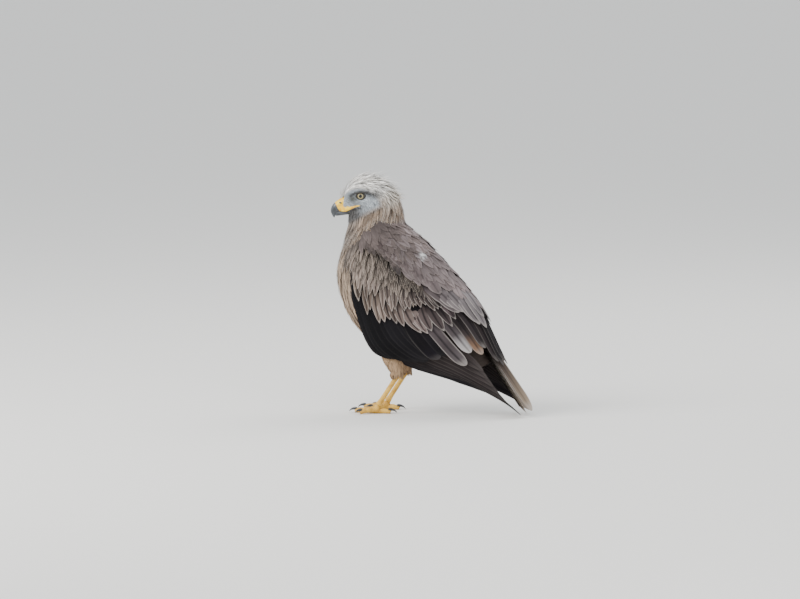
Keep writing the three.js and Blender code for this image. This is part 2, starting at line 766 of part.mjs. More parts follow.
function add(name, shape, color, roughness = 0.75) {
  const mesh = shape.getMesh();
  const geometry = new THREE.BufferGeometry();
  geometry.setAttribute("position", new THREE.BufferAttribute(new Float32Array(mesh.vertProperties), 3));
  geometry.setIndex(new THREE.BufferAttribute(new Uint32Array(mesh.triVerts), 1));
  const node = new THREE.Mesh(geometry, new THREE.MeshStandardMaterial({ color, roughness, metalness: 0 }));
  node.name = name;
  bird.add(node);
  built.set(name, shape);
}

const whole = bodySolid();
const swollen = turned(bodySolid(sink));
add("torso", cutAtRow(whole, neckRow, false), palette.brown);
add("neck", turned(neckSolid(whole)), palette.paleBrown);
add("head", turned(headSolid(whole)), palette.grey);
add("cere", turned(largest(cere().subtract(nostrils()))), palette.yellow, 0.45);
add("bill_upper", turned(upperBill()), palette.horn, 0.35);
add("bill_lower", turned(largest(lowerBill().subtract(join([cere(sink), upperBill(sink)])))), palette.horn, 0.35);
add("eye_left", turned(eyeball()), palette.iris, 0.1);
add("eye_right", turned(mirrored(eyeball())), palette.iris, 0.1);
add("wing_left", wing(1, swollen), palette.dark);
add("wing_right", wing(-1, swollen), palette.dark);
add("tail", tailSolid(swollen).trimByPlane([0, 0, 1], 0), palette.brown);
for (const [label, side] of [["left", 1], ["right", -1]]) {
  const sided = (shape) => (side > 0 ? shape : mirrored(shape));
  add(`thigh_${label}`, thigh(side, swollen), palette.brown);
  add(`tarsus_${label}`, sided(tarsus()), palette.yellow, 0.6);
  add(`foot_${label}`, sided(footSolid()), palette.yellow, 0.6);
  for (const toe of toes) add(`claw_${toe.name}_${label}`, sided(clawSolid(toe)), palette.horn, 0.3);
}

// The origin is on the ground under the middle of the bird's outline.
const box = new THREE.Box3().setFromObject(bird);
bird.position.set(-(box.min.x + box.max.x) / 2, -(box.min.y + box.max.y) / 2, -box.min.z);

export default bird;
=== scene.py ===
# A black kite standing on level ground, as a still, life-size museum model.
import math
import bpy
import numpy as np
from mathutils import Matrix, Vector, kdtree


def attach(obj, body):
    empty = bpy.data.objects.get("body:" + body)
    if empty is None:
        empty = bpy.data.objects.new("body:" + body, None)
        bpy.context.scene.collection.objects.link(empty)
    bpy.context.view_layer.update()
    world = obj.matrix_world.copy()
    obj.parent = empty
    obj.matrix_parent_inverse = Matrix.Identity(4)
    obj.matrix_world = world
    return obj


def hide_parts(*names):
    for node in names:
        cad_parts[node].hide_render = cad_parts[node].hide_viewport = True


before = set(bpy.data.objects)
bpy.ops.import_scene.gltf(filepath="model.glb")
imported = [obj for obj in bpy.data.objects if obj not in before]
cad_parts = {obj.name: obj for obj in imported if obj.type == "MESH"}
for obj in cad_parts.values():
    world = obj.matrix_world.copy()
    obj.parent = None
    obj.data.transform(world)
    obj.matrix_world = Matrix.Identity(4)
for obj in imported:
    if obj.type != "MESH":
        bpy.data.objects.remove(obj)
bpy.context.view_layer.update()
draw = np.random.default_rng(7)

# The bird is worked out in millimetres, facing -Y with its left side to +X.
mm = 0.001
floorShift = np.array([0.0, -53.46, 0.0])  # moves the bird's own middle over the frame's origin
bothSides = {"left": 1, "right": -1}
pose = {"trunkTilt": 54, "headTurn": 12, "turnAxis": -44, "turnLength": 44, "neckRow": 8}
eye = {"place": (19.2, -64.0, 359.0), "radius": 9.2, "opening": 5.7, "forward": 8, "pupil": 2.9}

# Body sections from rump to face: front point, back point (each y, z) and half width
bodyRows = [
    [92, 167, 114, 181, 17], [66, 120, 108, 197, 31], [34, 98, 97, 213, 42], [-8, 99, 78, 234, 46],
    [-48, 117, 54, 254, 47], [-82, 150, 34, 272, 47], [-101, 190, 18, 290, 46.5], [-107, 226, 10, 305, 45],
    [-103, 252, 7, 318, 43], [-96, 276, 5, 330, 38.5], [-90, 298, 2, 342, 35.5], [-87, 316, -3, 356, 33],
    [-87, 326, -12, 370, 31], [-88.5, 328.5, -28, 383, 30], [-91, 329.5, -50, 392, 27.5],
    [-93.5, 330, -70, 390, 23.5], [-95.5, 331, -86, 379.5, 18], [-97, 333, -96, 363, 12],
]
# Outer surface of a folded wing: distance down the trunk, its middle, half depth and half width
wingRows = [
    [-275, 128, 50, 50], [-250, 122, 65, 59], [-200, 112, 89, 63], [-110, 105, 108, 64],
    [-50, 123, 90, 60], [20, 149, 52, 53], [75, 166, 27, 49], [126, 177, 17, 46],
]
tail = {"root": (86, 202), "tip": (216, 4), "width": 31, "fork": 15, "arch": 8}


def mix(a, b, t):
    return a + (b - a) * t


def smooth(lo, hi, v):
    t = np.clip((v - lo) / (hi - lo), 0, 1)
    return t * t * (3 - 2 * t)


def bell(v, middle, spread):
    return np.exp(-(((v - middle) / spread) ** 2))


# A smooth curve through rows of numbers, read at row numbers that may lie between two rows.
def atRow(rows, row):
    rows = np.asarray(rows, float)
    x = np.clip(np.asarray(row, float), 0, len(rows) - 1)
    i = np.minimum(x.astype(int), len(rows) - 2)
    t = (x - i)[..., None]
    a, b, c, d = (rows[np.clip(i + k, 0, len(rows) - 1)] for k in (-1, 0, 1, 2))
    return 0.5 * (2 * b + (c - a) * t + (2 * a - 5 * b + 4 * c - d) * t**2 + (3 * b - a - 3 * c + d) * t**3)


def alongRows(rows, share):
    return atRow(rows, np.asarray(share) * (len(rows) - 1))


def atKey(rows, key):
    keys = [r[0] for r in rows]
    return atRow(rows, np.interp(key, keys, range(len(keys))))


def unit(v):
    return v / np.maximum(np.linalg.norm(v, axis=-1, keepdims=True), 1e-9)


# The head looks a little to its left: a turn about an upright line that grows along the neck.
fy, fz, by, bz, _ = atRow(bodyRows, pose["neckRow"])
neckPlane = np.array([-(bz - fz), by - fy]) / math.hypot(bz - fz, by - fy)
neckOffset = neckPlane @ [fy, fz]


def turned(p, share=1):
    p = np.asarray(p, float)
    past = p[..., 1] * neckPlane[0] + p[..., 2] * neckPlane[1] - neckOffset
    a = share * math.radians(pose["headTurn"]) * smooth(0, pose["turnLength"], past)
    x, y = p[..., 0], p[..., 1] - pose["turnAxis"]
    ahead = x * np.sin(a) + y * np.cos(a) + pose["turnAxis"]
    return np.stack([x * np.cos(a) - y * np.sin(a), ahead, p[..., 2]], -1)


def nearest(line, y, z):
    return np.min(np.hypot(y[..., None] - line[:, 0], z[..., None] - line[:, 1]), -1)


# The face is pressed in where the eye lies and raised along the ridge of the brow.
eyeHollow = {"middle": (-67, 358.6), "half": (14.5, 8.6), "width": 33, "depth": 9}
browRidge = {"height": 2.6, "spread": 3.6, "aside": 8}
browLine = alongRows([[-85, 361.5], [-77, 366.2], [-67, 368.4], [-56, 368], [-45, 365.6]], np.linspace(0, 1, 14))


def faceForm(x, y, z):
    (middleY, middleZ), (halfY, halfZ) = eyeHollow["middle"], eyeHollow["half"]
    inside = np.clip(1 - ((y - middleY) / halfY) ** 2 - ((z - middleZ) / halfZ) ** 2, 0, 1)
    hollow = eyeHollow["width"] - eyeHollow["depth"] * np.sqrt(inside)
    side = np.abs(x)
    side = np.where((inside > 0) & (side > hollow), hollow, side)
    ridge = browRidge["height"] * bell(nearest(browLine, y, z), 0, browRidge["spread"])
    return (side + ridge * (side > browRidge["aside"])) * np.sign(x)


# A place on an oval, height above it: how far back and how far aside it lies
def oval(depth, width, around, height):
    c, s = np.cos(np.radians(around)), np.sin(np.radians(around))
    lean = np.hypot(c / depth, s / width)
    return c * depth + height * c / depth / lean, s * width + height * s / width / lean


# A place on a run of oval sections: around is 0 at the back or top, 90 at the left side and 180 opposite.
def sectionPoint(rows, row, around, height=0.0):
    fy, fz, by, bz, width = np.moveaxis(atRow(rows, row), -1, 0)
    oy, oz = (by - fy) / 2, (bz - fz) / 2
    depth = np.hypot(oy, oz)
    reach, x = oval(depth, width, around, height)
    return x, (fy + by) / 2 + oy / depth * reach, (fz + bz) / 2 + oz / depth * reach


# row runs from rump to face.
def bodyPoint(row, around, height=0.0):
    x, y, z = sectionPoint(bodyRows, row, around, height)
    return turned(np.stack([faceForm(x, y, z), y, z], -1))


# Ruffled feathers stand before the forehead, over the root of the bill.
foreheadRows = [[-74, 362, -84, 379, 17], [-80, 356, -92, 371.5, 14], [-86, 352, -98, 363.5, 11.5],
                [-92, 350, -101.5, 357, 9], [-98, 349, -103.5, 352, 6]]


def foreheadPoint(row, around, height=0.0):
    return turned(np.stack(sectionPoint(foreheadRows, row, around, height), -1))


# down is the distance along the trunk's slope, around is 0 at the back and 90 at the left side.
trunkCos, trunkSin = math.cos(math.radians(pose["trunkTilt"])), math.sin(math.radians(pose["trunkTilt"]))


def wingPoint(down, around, height=0.0):
    _, centre, depth, width = np.moveaxis(atKey(wingRows, down), -1, 0)
    reach, side = oval(depth, width, around, height)
    back = centre + reach
    return np.stack([side, down * trunkCos + back * trunkSin, -down * trunkSin + back * trunkCos], -1)


def wingGround(side):
    return lambda down, around, height=0.0: wingPoint(down, around, height) * [side, 1, 1]


tailRun = unit(np.array([0, tail["tip"][0] - tail["root"][0], tail["tip"][1] - tail["root"][1]], float))
tailLength = math.hypot(tail["tip"][0] - tail["root"][0], tail["tip"][1] - tail["root"][1])
tailUp = -np.cross([1, 0, 0], tailRun)


def tailPoint(reach, x, height=0.0):
    reach, x, height = np.broadcast_arrays(reach, x, height)
    lift = height - tail["arch"] * (x / tail["width"]) ** 2
    place = np.array([0, *tail["root"]]) + reach[..., None] * tailRun + lift[..., None] * tailUp
    place[..., 0] += x
    return place


# Places inside the folded wing, where the body needs no feathers
wingCover = {"down": (-238, 20), "around": (22, 118), "inside": 0.99}


def underWing(p):
    down, back = p[..., 1] * trunkCos - p[..., 2] * trunkSin, p[..., 1] * trunkSin + p[..., 2] * trunkCos
    _, centre, depth, width = np.moveaxis(atKey(wingRows, down), -1, 0)
    c, s = (back - centre) / depth, np.abs(p[..., 0]) / width
    around = np.degrees(np.arctan2(s, c))
    (top, bottom), (start, end) = wingCover["down"], wingCover["around"]
    return (np.hypot(c, s) < wingCover["inside"]) & (around > start) & (around < end) & (down > top) & (down < bottom)


# Shader maths written as Python expressions
class Value:
    def __init__(self, sheet, socket):
        self.sheet, self.socket = sheet, socket

    def sum(self, operation, first, second=None):
        return self.sheet.node("ShaderNodeMath", {"operation": operation}, {0: first, 1: second})

    def __add__(self, other):
        return self.sum("ADD", self, other)

    def __radd__(self, other):
        return self.sum("ADD", other, self)

    def __sub__(self, other):
        return self.sum("SUBTRACT", self, other)

    def __rsub__(self, other):
        return self.sum("SUBTRACT", other, self)

    def __mul__(self, other):
        return self.sum("MULTIPLY", self, other)

    def __rmul__(self, other):
        return self.sum("MULTIPLY", other, self)

    def __abs__(self):
        return self.sum("ABSOLUTE", self)

    def wave(self):
        return self.sum("SINE", self)

    def larger(self, other):
        return self.sum("MAXIMUM", self, other)

    def rise(self, lo, hi):
        ends = {"Value": self, "From Min": lo, "From Max": hi}
        return self.sheet.node("ShaderNodeMapRange", {"interpolation_type": "SMOOTHSTEP"}, ends)


class Sheet:
    def __init__(self, name):
        self.material = bpy.data.materials.new(name)
        self.material.use_nodes = True
        self.tree = self.material.node_tree
        self.shader = self.tree.nodes["Principled BSDF"]

    def node(self, kind, settings=None, inputs=None, output=0):
        made = self.tree.nodes.new(kind)
        for key, value in (settings or {}).items():
            setattr(made, key, value)
        for key, value in (inputs or {}).items():
            self.put(made.inputs[key], value)
        return Value(self, made.outputs[output])

    def put(self, socket, value):
        if isinstance(value, Value):
            self.tree.links.new(value.socket, socket)
        elif value is not None:
            socket.default_value = value

    def attribute(self, name, output="Color"):
        return self.node("ShaderNodeAttribute", {"attribute_name": name}, output=output)

    def parts(self, vector):
        made = self.tree.nodes.new("ShaderNodeSeparateXYZ")
        self.put(made.inputs[0], vector)
        return [Value(self, o) for o in made.outputs]

    def noise(self, scale, detail=3, rough=0.5):
        place = self.node("ShaderNodeTexCoord", output="Object")
        fields = {"Vector": place, "Scale": scale, "Detail": detail, "Roughness": rough}
        return self.node("ShaderNodeTexNoise", {}, fields)

    def blend(self, factor, first, second, mode="MIX"):
        colours = {0: factor, 6: first, 7: second}
        return self.node("ShaderNodeMix", {"data_type": "RGBA", "blend_type": mode}, colours, 2)

    def grey(self, value):
        return self.node("ShaderNodeCombineColor", {}, {0: value, 1: value, 2: value})

    def bump(self, height, strength, distance):
        return self.node("ShaderNodeBump", {}, {"Height": height, "Strength": strength, "Distance": distance})

    def feed(self, **sockets):
        for key, value in sockets.items():
            self.put(self.shader.inputs[key.replace("_", " ")], value)
        return self.material


# A colour's code as the linear light that Blender works in
def paint(code):
    s = np.array([int(code[i:i + 2], 16) / 255 for i in (1, 3, 5)])
    return np.where(s > 0.04045, ((s + 0.055) / 1.055) ** 2.4, s / 12.92)


def rgba(code):
    return (*paint(code), 1.0)


# Feather finish: every vane carries how far along and across it a point is, its own tone, and its markings.
def featherFinish(name, look):
    sheet = Sheet(name)
    colour = sheet.attribute("plumage")
    along, across, tone = sheet.parts(sheet.attribute("vane", "Vector"))
    edge, streak, barbs = sheet.parts(sheet.attribute("marking", "Vector"))
    side = abs(across)
    mottle = sheet.noise(look["mottle"], 4)
    lines = ((along + side * look["slant"]) * barbs * 6.28).wave()  # barbs slant away from the shaft
    shade = look["bright"] * (0.78 + tone * 0.3) * (0.86 + mottle * 0.28) * (0.72 + along.rise(0.1, 0.75) * 0.28)
    colour = sheet.blend(1.0, colour, sheet.grey(shade * (1 + lines * look["barbTone"])), "MULTIPLY")
    shaft = (1 - side.rise(0.0, 0.34)) * streak * (0.5 + mottle * 0.8)
    colour = sheet.blend(shaft, colour, rgba(look["streak"]))
    rim = side.rise(0.72, 1.0).larger(along.rise(0.88, 1.0)) * edge * along.rise(0.3, 0.7)
    colour = sheet.blend(rim, colour, rgba(look["rim"]))
    rib = 1 - side.rise(0.03, 0.1)
    normal = sheet.bump(lines * 0.5 + rib * look["rib"] + mottle * 0.6, look["bump"], 0.0004)
    rough = look["rough"] - lines * 0.04 + mottle * 0.1
    sheet.shader.inputs["Specular IOR Level"].default_value = look["gloss"]
    return sheet.feed(Base_Color=colour, Roughness=rough, Normal=normal)


featherLooks = {
    "body": {
        "bright": 1.0, "mottle": 90, "slant": 0.16, "barbTone": 0.05, "streak": "#3a302a", "rim": "#d0c2b2",
        "rib": 0.4, "bump": 0.35, "rough": 0.72, "gloss": 0.25,
    },
    "head": {
        "bright": 1.2, "mottle": 140, "slant": 0.16, "barbTone": 0.04, "streak": "#4a443f", "rim": "#f2efe9",
        "rib": 0.2, "bump": 0.3, "rough": 0.75, "gloss": 0.22,
    },
    "flight": {
        "bright": 1.0, "mottle": 45, "slant": 0.16, "barbTone": 0.07, "streak": "#120f11", "rim": "#c9c0b8",
        "rib": 1.6, "bump": 0.4, "rough": 0.75, "gloss": 0.1,
    },
}
finishes = {name: featherFinish(f"{name}_plumage", look) for name, look in featherLooks.items()}

# Ring of a vane's section: places across the upper side, then back along the lower side
sections = {
    "fine": ([-1, 0, 1], [0]),
    "broad": ([-1, -0.55, 0, 0.55, 1], [0]),
    "flight": ([-1, -0.8, -0.45, -0.07, 0, 0.07, 0.45, 0.8, 1], [0.6, 0, -0.6]),
}
shortShare = np.array([0, 0.28, 0.52, 0.7, 0.84, 0.94, 1.0])  # stations along a small feather
flightShare = np.array([0, 0.12, 0.25, 0.38, 0.5, 0.6, 0.7, 0.78, 0.85, 0.9, 0.94, 0.97, 0.99, 1.0])


# How far, and which way, a ground runs for one unit of each of its two measures
def runs(ground, a, b, step=0.01):
    runA = ground(a + step, b) - ground(a - step, b)
    runB = ground(a, b + step) - ground(a, b - step)
    return runA / (2 * step), runB / (2 * step)


def spans(ground, a, b):
    return [np.linalg.norm(run, axis=-1) for run in runs(ground, a, b)]


# Vanes on a ground: lineA and lineB (one row per feather, one column per station) are the shafts' places.
def layVanes(ground, lineA, lineB, half, level, kind, thick, camber, slope=0.0, shift=0.0):
    upper, lower = sections[kind]
    spanA, spanB = (span + 1e-6 for span in spans(ground, lineA, lineB))
    runA, runB = np.gradient(lineA, axis=1) * spanA, np.gradient(lineB, axis=1) * spanB
    size = np.hypot(runA, runB) + 1e-9
    # past the last of its rows a ground stands still, and a vane there spreads along b alone
    sideA, sideB = np.where(spanA > 0.2, -runB / size / spanA, 0), runA / size / spanB
    points, across = [], []
    for s, below in [(s, 0) for s in upper] + [(s, 1) for s in lower]:
        reach = (s + shift * (1 - abs(s))) * half
        height = level + slope * reach - camber * s * s * half - below * thick
        if kind == "flight" and not below and s == 0:
            height = height + thick  # the shaft stands out
        points.append(ground(lineA + reach * sideA, lineB + reach * sideB, height))
        across.append(np.full(half.shape, float(s)))
    return np.stack(points, 2), np.stack(across, 2)


# One batch of vanes of like section, with what the finish reads; patch is each vane's place in the UV map.
def batch(points, across, share, colour, tone, marking, patch):
    n, t, s, _ = points.shape
    along = np.broadcast_to(share[:, None], (n, t, s))
    wide = lambda v: np.broadcast_to(np.reshape(v, (-1, 1, 1)), (n, t, s))
    u, v, width, height = map(wide, patch)
    return {
        "points": points, "vane": np.stack([along, across, wide(tone)], -1),
        "colour": np.broadcast_to(colour.reshape(n, -1, 1, 3), (n, t, s, 3)),
        "marking": np.stack([wide(m) for m in marking], -1),
        "patch": np.stack([u + across * width / 2, v + (along - 0.5) * height], -1),
    }


# Faces of n vanes of t stations with s points round each, closed at root and tip
def joinedQuads(n, t, s):
    ring = np.arange(s)
    here = np.stack([ring, np.roll(ring, -1)], -1)
    quads = [[j * s + a, j * s + b, (j + 1) * s + b, (j + 1) * s + a] for j in range(t - 1) for a, b in here]
    for base, order in ((0, 1), ((t - 1) * s, -1)):
        quads += [[base + v for v in (i + 1, i, s - 1 - i, s - 2 - i)[::order]] for i in range(s // 2 - 1)]
    quads = np.array(quads)
    return (quads[None] + (np.arange(n) * t * s)[:, None, None]).reshape(-1, 4)


def vanePiece(name, batches, material, replaces=()):
    flat = lambda key, size: np.concatenate([b[key].reshape(-1, size) for b in batches])
    quads, start = [], 0
    for b in batches:
        n, t, s, _ = b["points"].shape
        quads.append(joinedQuads(n, t, s) + start)
        start += n * t * s
    quads = np.concatenate(quads)
    mesh = makePiece(name, (flat("points", 3), quads), material, replaces).data
    vane = flat("vane", 3)
    addMarks(mesh, flat("colour", 3), vane, flat("marking", 3))
    ends = np.empty(len(mesh.edges) * 2, int)
    mesh.edges.foreach_get("vertices", ends)
    rim = (np.abs(vane[:, 1]) > 0.99)[ends.reshape(-1, 2)].all(1)
    mesh.attributes.new("sharp_edge", "BOOLEAN", "EDGE").data.foreach_set("value", rim)
    loops = np.empty(len(mesh.loops), int)
    mesh.loops.foreach_get("vertex_index", loops)
    mesh.uv_layers.new(name="OFBake").data.foreach_set("uv", flat("patch", 2)[loops].astype(np.float32).ravel())
    print(name, len(quads) * 2, "triangles")


# What the feather finish reads on each point; skin and pads have one plain value all over.
def addMarks(mesh, colour, vane=(0.8, 0.5, 0.5), marking=(0, 0, 1)):
    n = len(mesh.vertices)
    full = np.ones((n, 4), np.float32)
    full[:, :3] = np.clip(colour, 0, 1)
    mesh.attributes.new("plumage", "FLOAT_COLOR", "POINT").data.foreach_set("color", full.ravel())
    for key, value in (("vane", vane), ("marking", marking)):
        value = np.broadcast_to(value, (n, 3)).astype(np.float32)
        mesh.attributes.new(key, "FLOAT_VECTOR", "POINT").data.foreach_set("vector", value.ravel())


# A form, points in the bird's millimetres and faces, becomes a shown piece.
def makePiece(name, form, material, replaces=()):
    points, faces = form
    mesh = bpy.data.meshes.new(name)
    mesh.from_pydata((np.asarray(points, float) + floorShift) * mm, [], faces)
    mesh.update()
    mesh.polygons.foreach_set("use_smooth", np.ones(len(mesh.polygons), bool))
    mesh.materials.append(material)
    piece = bpy.data.objects.new(name, mesh)
    bpy.context.scene.collection.objects.link(piece)
    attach(piece, "root")
    if replaces:
        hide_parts(*replaces)
    return piece


# Rings of points joined to a closed form; each end is closed by a point at its middle.
def lofted(rings):
    rings = np.asarray(rings, float)
    t, s, _ = rings.shape
    points = np.concatenate([rings.reshape(-1, 3), [rings[0].mean(0), rings[-1].mean(0)]])
    pairs = [(a, (a + 1) % s) for a in range(s)]
    faces = [(j * s + a, j * s + b, (j + 1) * s + b, (j + 1) * s + a) for j in range(t - 1) for a, b in pairs]
    faces += [(t * s, b, a) for a, b in pairs]
    faces += [(t * s + 1, (t - 1) * s + a, (t - 1) * s + b) for a, b in pairs]
    return points, faces


def joined(forms):
    points, faces, start = [], [], 0
    for p, f in forms:
        points.append(p)
        faces += [tuple(i + start for i in face) for face in f]
        start += len(p)
    return np.concatenate(points), faces


def sided(form, side):
    return form[0] * [side, 1, 1], form[1]


# A form of the head, turned with it
def onHead(form, side=1):
    return turned(form[0] * [side, 1, 1]), form[1]


# Roots spread evenly over a ground, spacing apart
def scatter(ground, rangeA, rangeB, spacing, keep):
    cells, tries, tightness = 79, 9, 0.86
    (a0, a1), (b0, b1) = rangeA, rangeB
    gridA, gridB = np.meshgrid(np.linspace(a0, a1, cells + 1), np.linspace(b0, b1, cells + 1), indexing="ij")
    area = np.linalg.norm(np.cross(*runs(ground, gridA, gridB)), axis=-1)
    weight = (area / spacing(gridA, gridB) ** 2).ravel()
    count = int(weight.sum() * (a1 - a0) * (b1 - b0) / cells**2 * tries)
    pick = draw.choice(len(weight), count, p=weight / weight.sum())
    a = gridA.ravel()[pick] + (draw.random(count) - 0.5) * (a1 - a0) / cells
    b = gridB.ravel()[pick] + (draw.random(count) - 0.5) * (b1 - b0) / cells
    place = ground(a, b)
    good = keep(a, b, place)
    a, b, place = a[good], b[good], place[good]
    apart = spacing(a, b) * tightness
    taken, chosen = {}, []
    keys = np.floor(place / apart.max()).astype(int)
    beside = [(x, y, z) for x in (-1, 0, 1) for y in (-1, 0, 1) for z in (-1, 0, 1)]
    for i, (key, p, gap) in enumerate(zip(map(tuple, keys), place, apart)):
        near = (j for x, y, z in beside for j in taken.get((key[0] + x, key[1] + y, key[2] + z), ()))
        if all(np.sum((place[j] - p) ** 2) > ((gap + apart[j]) / 2) ** 2 for j in near):
            taken.setdefault(key, []).append(i)
            chosen.append(i)
    return a[chosen], b[chosen]


# Roots in staggered rows: gapA along the lie, gapB across it
def tiled(ground, rangeA, rangeB, gapA, gapB, keep, loose=0.3):
    rows, a = [], rangeA[0]
    b = np.linspace(*rangeB, 90)
    while a < rangeA[1]:
        here = np.full(len(b), a)
        spanA, _ = spans(ground, here, b)
        run = np.append(0, np.cumsum(np.linalg.norm(np.diff(ground(here, b), axis=0), axis=-1)))
        count = max(3, int(run[-1] / gapB))
        at = (np.arange(count) + 0.5 * (len(rows) % 2) + loose * (draw.random(count) - 0.5)) * run[-1] / count
        spots = np.interp(at, run, b)
        near = np.interp(spots, b, np.maximum(spanA, 0.3 * spanA.mean()))
        rows.append((a + loose * gapA * (draw.random(count) - 0.5) / near, spots))
        a += gapA / spanA.mean()
    a, b = (np.concatenate([row[k] for row in rows]) for k in (0, 1))
    good = keep(a, b, ground(a, b))
    return a[good], b[good]


# Shafts of short feathers that follow the ground from their roots, heading in degrees off the lie, towards +b
def follow(ground, a, b, heading, length, forward=1):
    lineA, lineB = [a], [b]
    turn = np.radians(heading)
    for part in np.diff(shortShare):
        spanA, spanB = spans(ground, lineA[-1], lineB[-1])
        lineA.append(lineA[-1] + forward * np.cos(turn) * part * length / (spanA + 0.5))
        lineB.append(lineB[-1] + np.sin(turn) * part * length / (spanB + 0.05))
    return np.stack(lineA, 1), np.stack(lineB, 1)


# Half width of a vane along its length: narrow root, full middle, and a tip of one of these shapes,
# each given by where it starts to narrow, how suddenly, and how sharp its end is
tips = {"round": (0.84, 2.0, 0.5), "oval": (0.62, 2.0, 0.6), "pointed": (0.5, 1.5, 0.8), "lance": (0.3, 1.4, 0.9)}


def vaneShape(share, tip, root=0.35, full=0.3):
    start, blunt, power = tips[tip]
    u = np.clip((share - start) / (1 - start), 0, 1)
    return mix(root, 1, smooth(0, full, share)) * np.maximum(1 - u**blunt, 0.004) ** power


# Ring round the eye and strip along the gape that carry no feathers
bareSkin = {"eye": 6.9, "eyeAside": 8, "eyeBack": 0.6, "gape": 2.4, "gapeAside": 6}
gapeLine = alongRows([[-100, 338], [-90, 337], [-82, 338], [-73, 340.2], [-66, 342]], np.linspace(0, 1, 16))


def isBare(place):
    x, y, z = np.moveaxis(turned(place, -1), -1, 0)
    offEye = np.hypot(y - eye["place"][1] + bareSkin["eyeBack"], z - eye["place"][2])
    atEye = (offEye <= bareSkin["eye"]) & (np.abs(x) >= bareSkin["eyeAside"])
    return atEye | ((nearest(gapeLine, y, z) <= bareSkin["gape"]) & (np.abs(x) >= bareSkin["gapeAside"]))


# Turn from the back, 0, to the front, 180, the same on both sides
def fromBack(around):
    return np.abs((around + 180) % 360 - 180)


# Body markings by place, the same for skin and coat: colour, pale edge and dark shaft streak
plumage = {
    "crown": "#efebe4", "forehead": "#f6f4f0", "cheek": "#a3a9ad", "mask": "#2f2f31", "lore": "#4c4e48",
    "chin": "#4d4c4c", "throat": "#766a60", "neck": "#7f6c5b", "nape": "#d2c8ba", "mantle": "#5c514e",
    "breast": "#9c8875", "belly": "#9d8067", "trousers": "#a38565", "rump": "#76675c",
}
maskLine = alongRows([[-17, 1.0], [-8, 5.5], [0, 7.5], [8, 6.0], [16, 3.8], [27, 2.2]], np.linspace(0, 1, 24))


def bodyMarkings(row, around):
    turn = fromBack(around)
    x, y, z = np.moveaxis(turned(bodyPoint(row, around), -1), -1, 0)
    behindEye, overEye = y - eye["place"][1], z - eye["place"][2]
    onSide = (np.abs(x) > 9) * smooth(11, 12, row)
    underChin = np.maximum(smooth(90, 135, turn) * smooth(14.2, 12.4, row), smooth(140, 155, turn))
    loreSpot = bell(behindEye, -14, 9) * bell(overEye, -5, 7)
    maskBand = bell(nearest(maskLine, behindEye, overEye), 0, mix(3.6, 6.0, smooth(2, 12, behindEye)))
    colour = paint(plumage["mantle"]) * mix(1.7, 1, smooth(8, 34, turn))[..., None]
    for name, mask in {
        "rump": smooth(2.5, 0.5, row),
        "breast": smooth(95, 130, turn),
        "belly": smooth(110, 140, turn) * smooth(6.0, 3.5, row),
        "neck": smooth(7.6, 8.8, row),
        "throat": smooth(7.6, 9.4, row) * smooth(105, 140, turn),
        "nape": smooth(9.6, 11.4, row) * smooth(75, 45, turn),
        "crown": smooth(11.2, 12.6, row) * smooth(78, 60, turn),
        "cheek": smooth(10.6, 11.5, row) * smooth(62, 78, turn),
        "forehead": smooth(15.2, 16.2, row) * smooth(82, 55, turn),
        "chin": smooth(10.2, 11.2, row) * underChin,
        "lore": loreSpot * onSide,
        "mask": 0.9 * maskBand * onSide,
    }.items():
        colour = mix(colour, paint(plumage[name]), mask[..., None])
    onCheek, onChin = smooth(10.8, 11.6, row) * smooth(62, 80, turn), smooth(10.0, 10.8, row) * smooth(96, 112, turn)
    edge = (0.25 + 0.35 * smooth(8, 11, row)) * (1 - 0.8 * np.maximum(onCheek, onChin))
    streak = 0.2 + 0.5 * smooth(7.5, 9.5, row) + 0.25 * smooth(110, 150, turn)
    return colour, edge, streak * mix(1, 0.45, smooth(12, 13.5, row) * smooth(62, 84, turn))


# Coats of the body: where each lies, and its feathers' spacing, length, half width, root depth, rise at the
# tip and how far some stand up. A gap of two numbers lays them in rows. Some are darker, by shades, or paler.
bodyCoats = {
    "face": {
        "rows": (11.2, 16.35), "turn": (60, 180), "gap": 2.0, "length": 7, "half": 0.95, "root": -1.4,
        "rise": 0.35, "tip": "pointed", "shades": 0.14, "slot": "head_feathers", "finish": "head",
    },
    "crown": {
        "rows": (11.4, 16.45), "turn": (0, 68), "gap": 2.3, "length": 15, "half": 1.15, "root": -2.4,
        "rise": 1.5, "ruffle": 12, "tip": "lance", "shades": 0.55, "slot": "head_feathers", "finish": "head",
    },
    "forehead": {
        "ground": foreheadPoint, "rows": (0.3, 3.9), "turn": (-70, 70), "gap": 1.7, "length": 11, "half": 1.0,
        "root": -5.0, "stem": 0.12, "rise": 0.9, "ruffle": 4, "tip": "lance", "shades": 0.4,
    },
    "neck": {
        "rows": (7.9, 11.6), "turn": (0, 180), "gap": (8.0, 2.7), "length": 27, "half": 1.9, "root": -2.6,
        "rise": 1.2, "tip": "lance", "shades": 0.4, "pale": 0.5, "finish": "head",
    },
    "breast": {
        "rows": (2.0, 8.1), "turn": (66, 180), "gap": (10.0, 5.0), "length": 34, "half": 3.8, "root": -2.8,
        "rise": 0.9, "tip": "lance", "shades": 0.25, "pale": 0.2,
    },
    "back": {
        "rows": (0.3, 8.1), "turn": (0, 74), "gap": (10.0, 5.6), "length": 36, "half": 4.0, "root": -0.9,
        "rise": 0.7, "tip": "pointed", "shades": 0.15,
    },
    "vent": {
        "rows": (0.1, 2.2), "turn": (66, 180), "gap": (11.0, 6.2), "length": 32, "half": 4.6, "root": -2.8,
        "rise": 0.8, "tip": "lance", "shades": 0.15,
    },
}
patchSize = 0.003  # a small feather's share of its coat's UV map


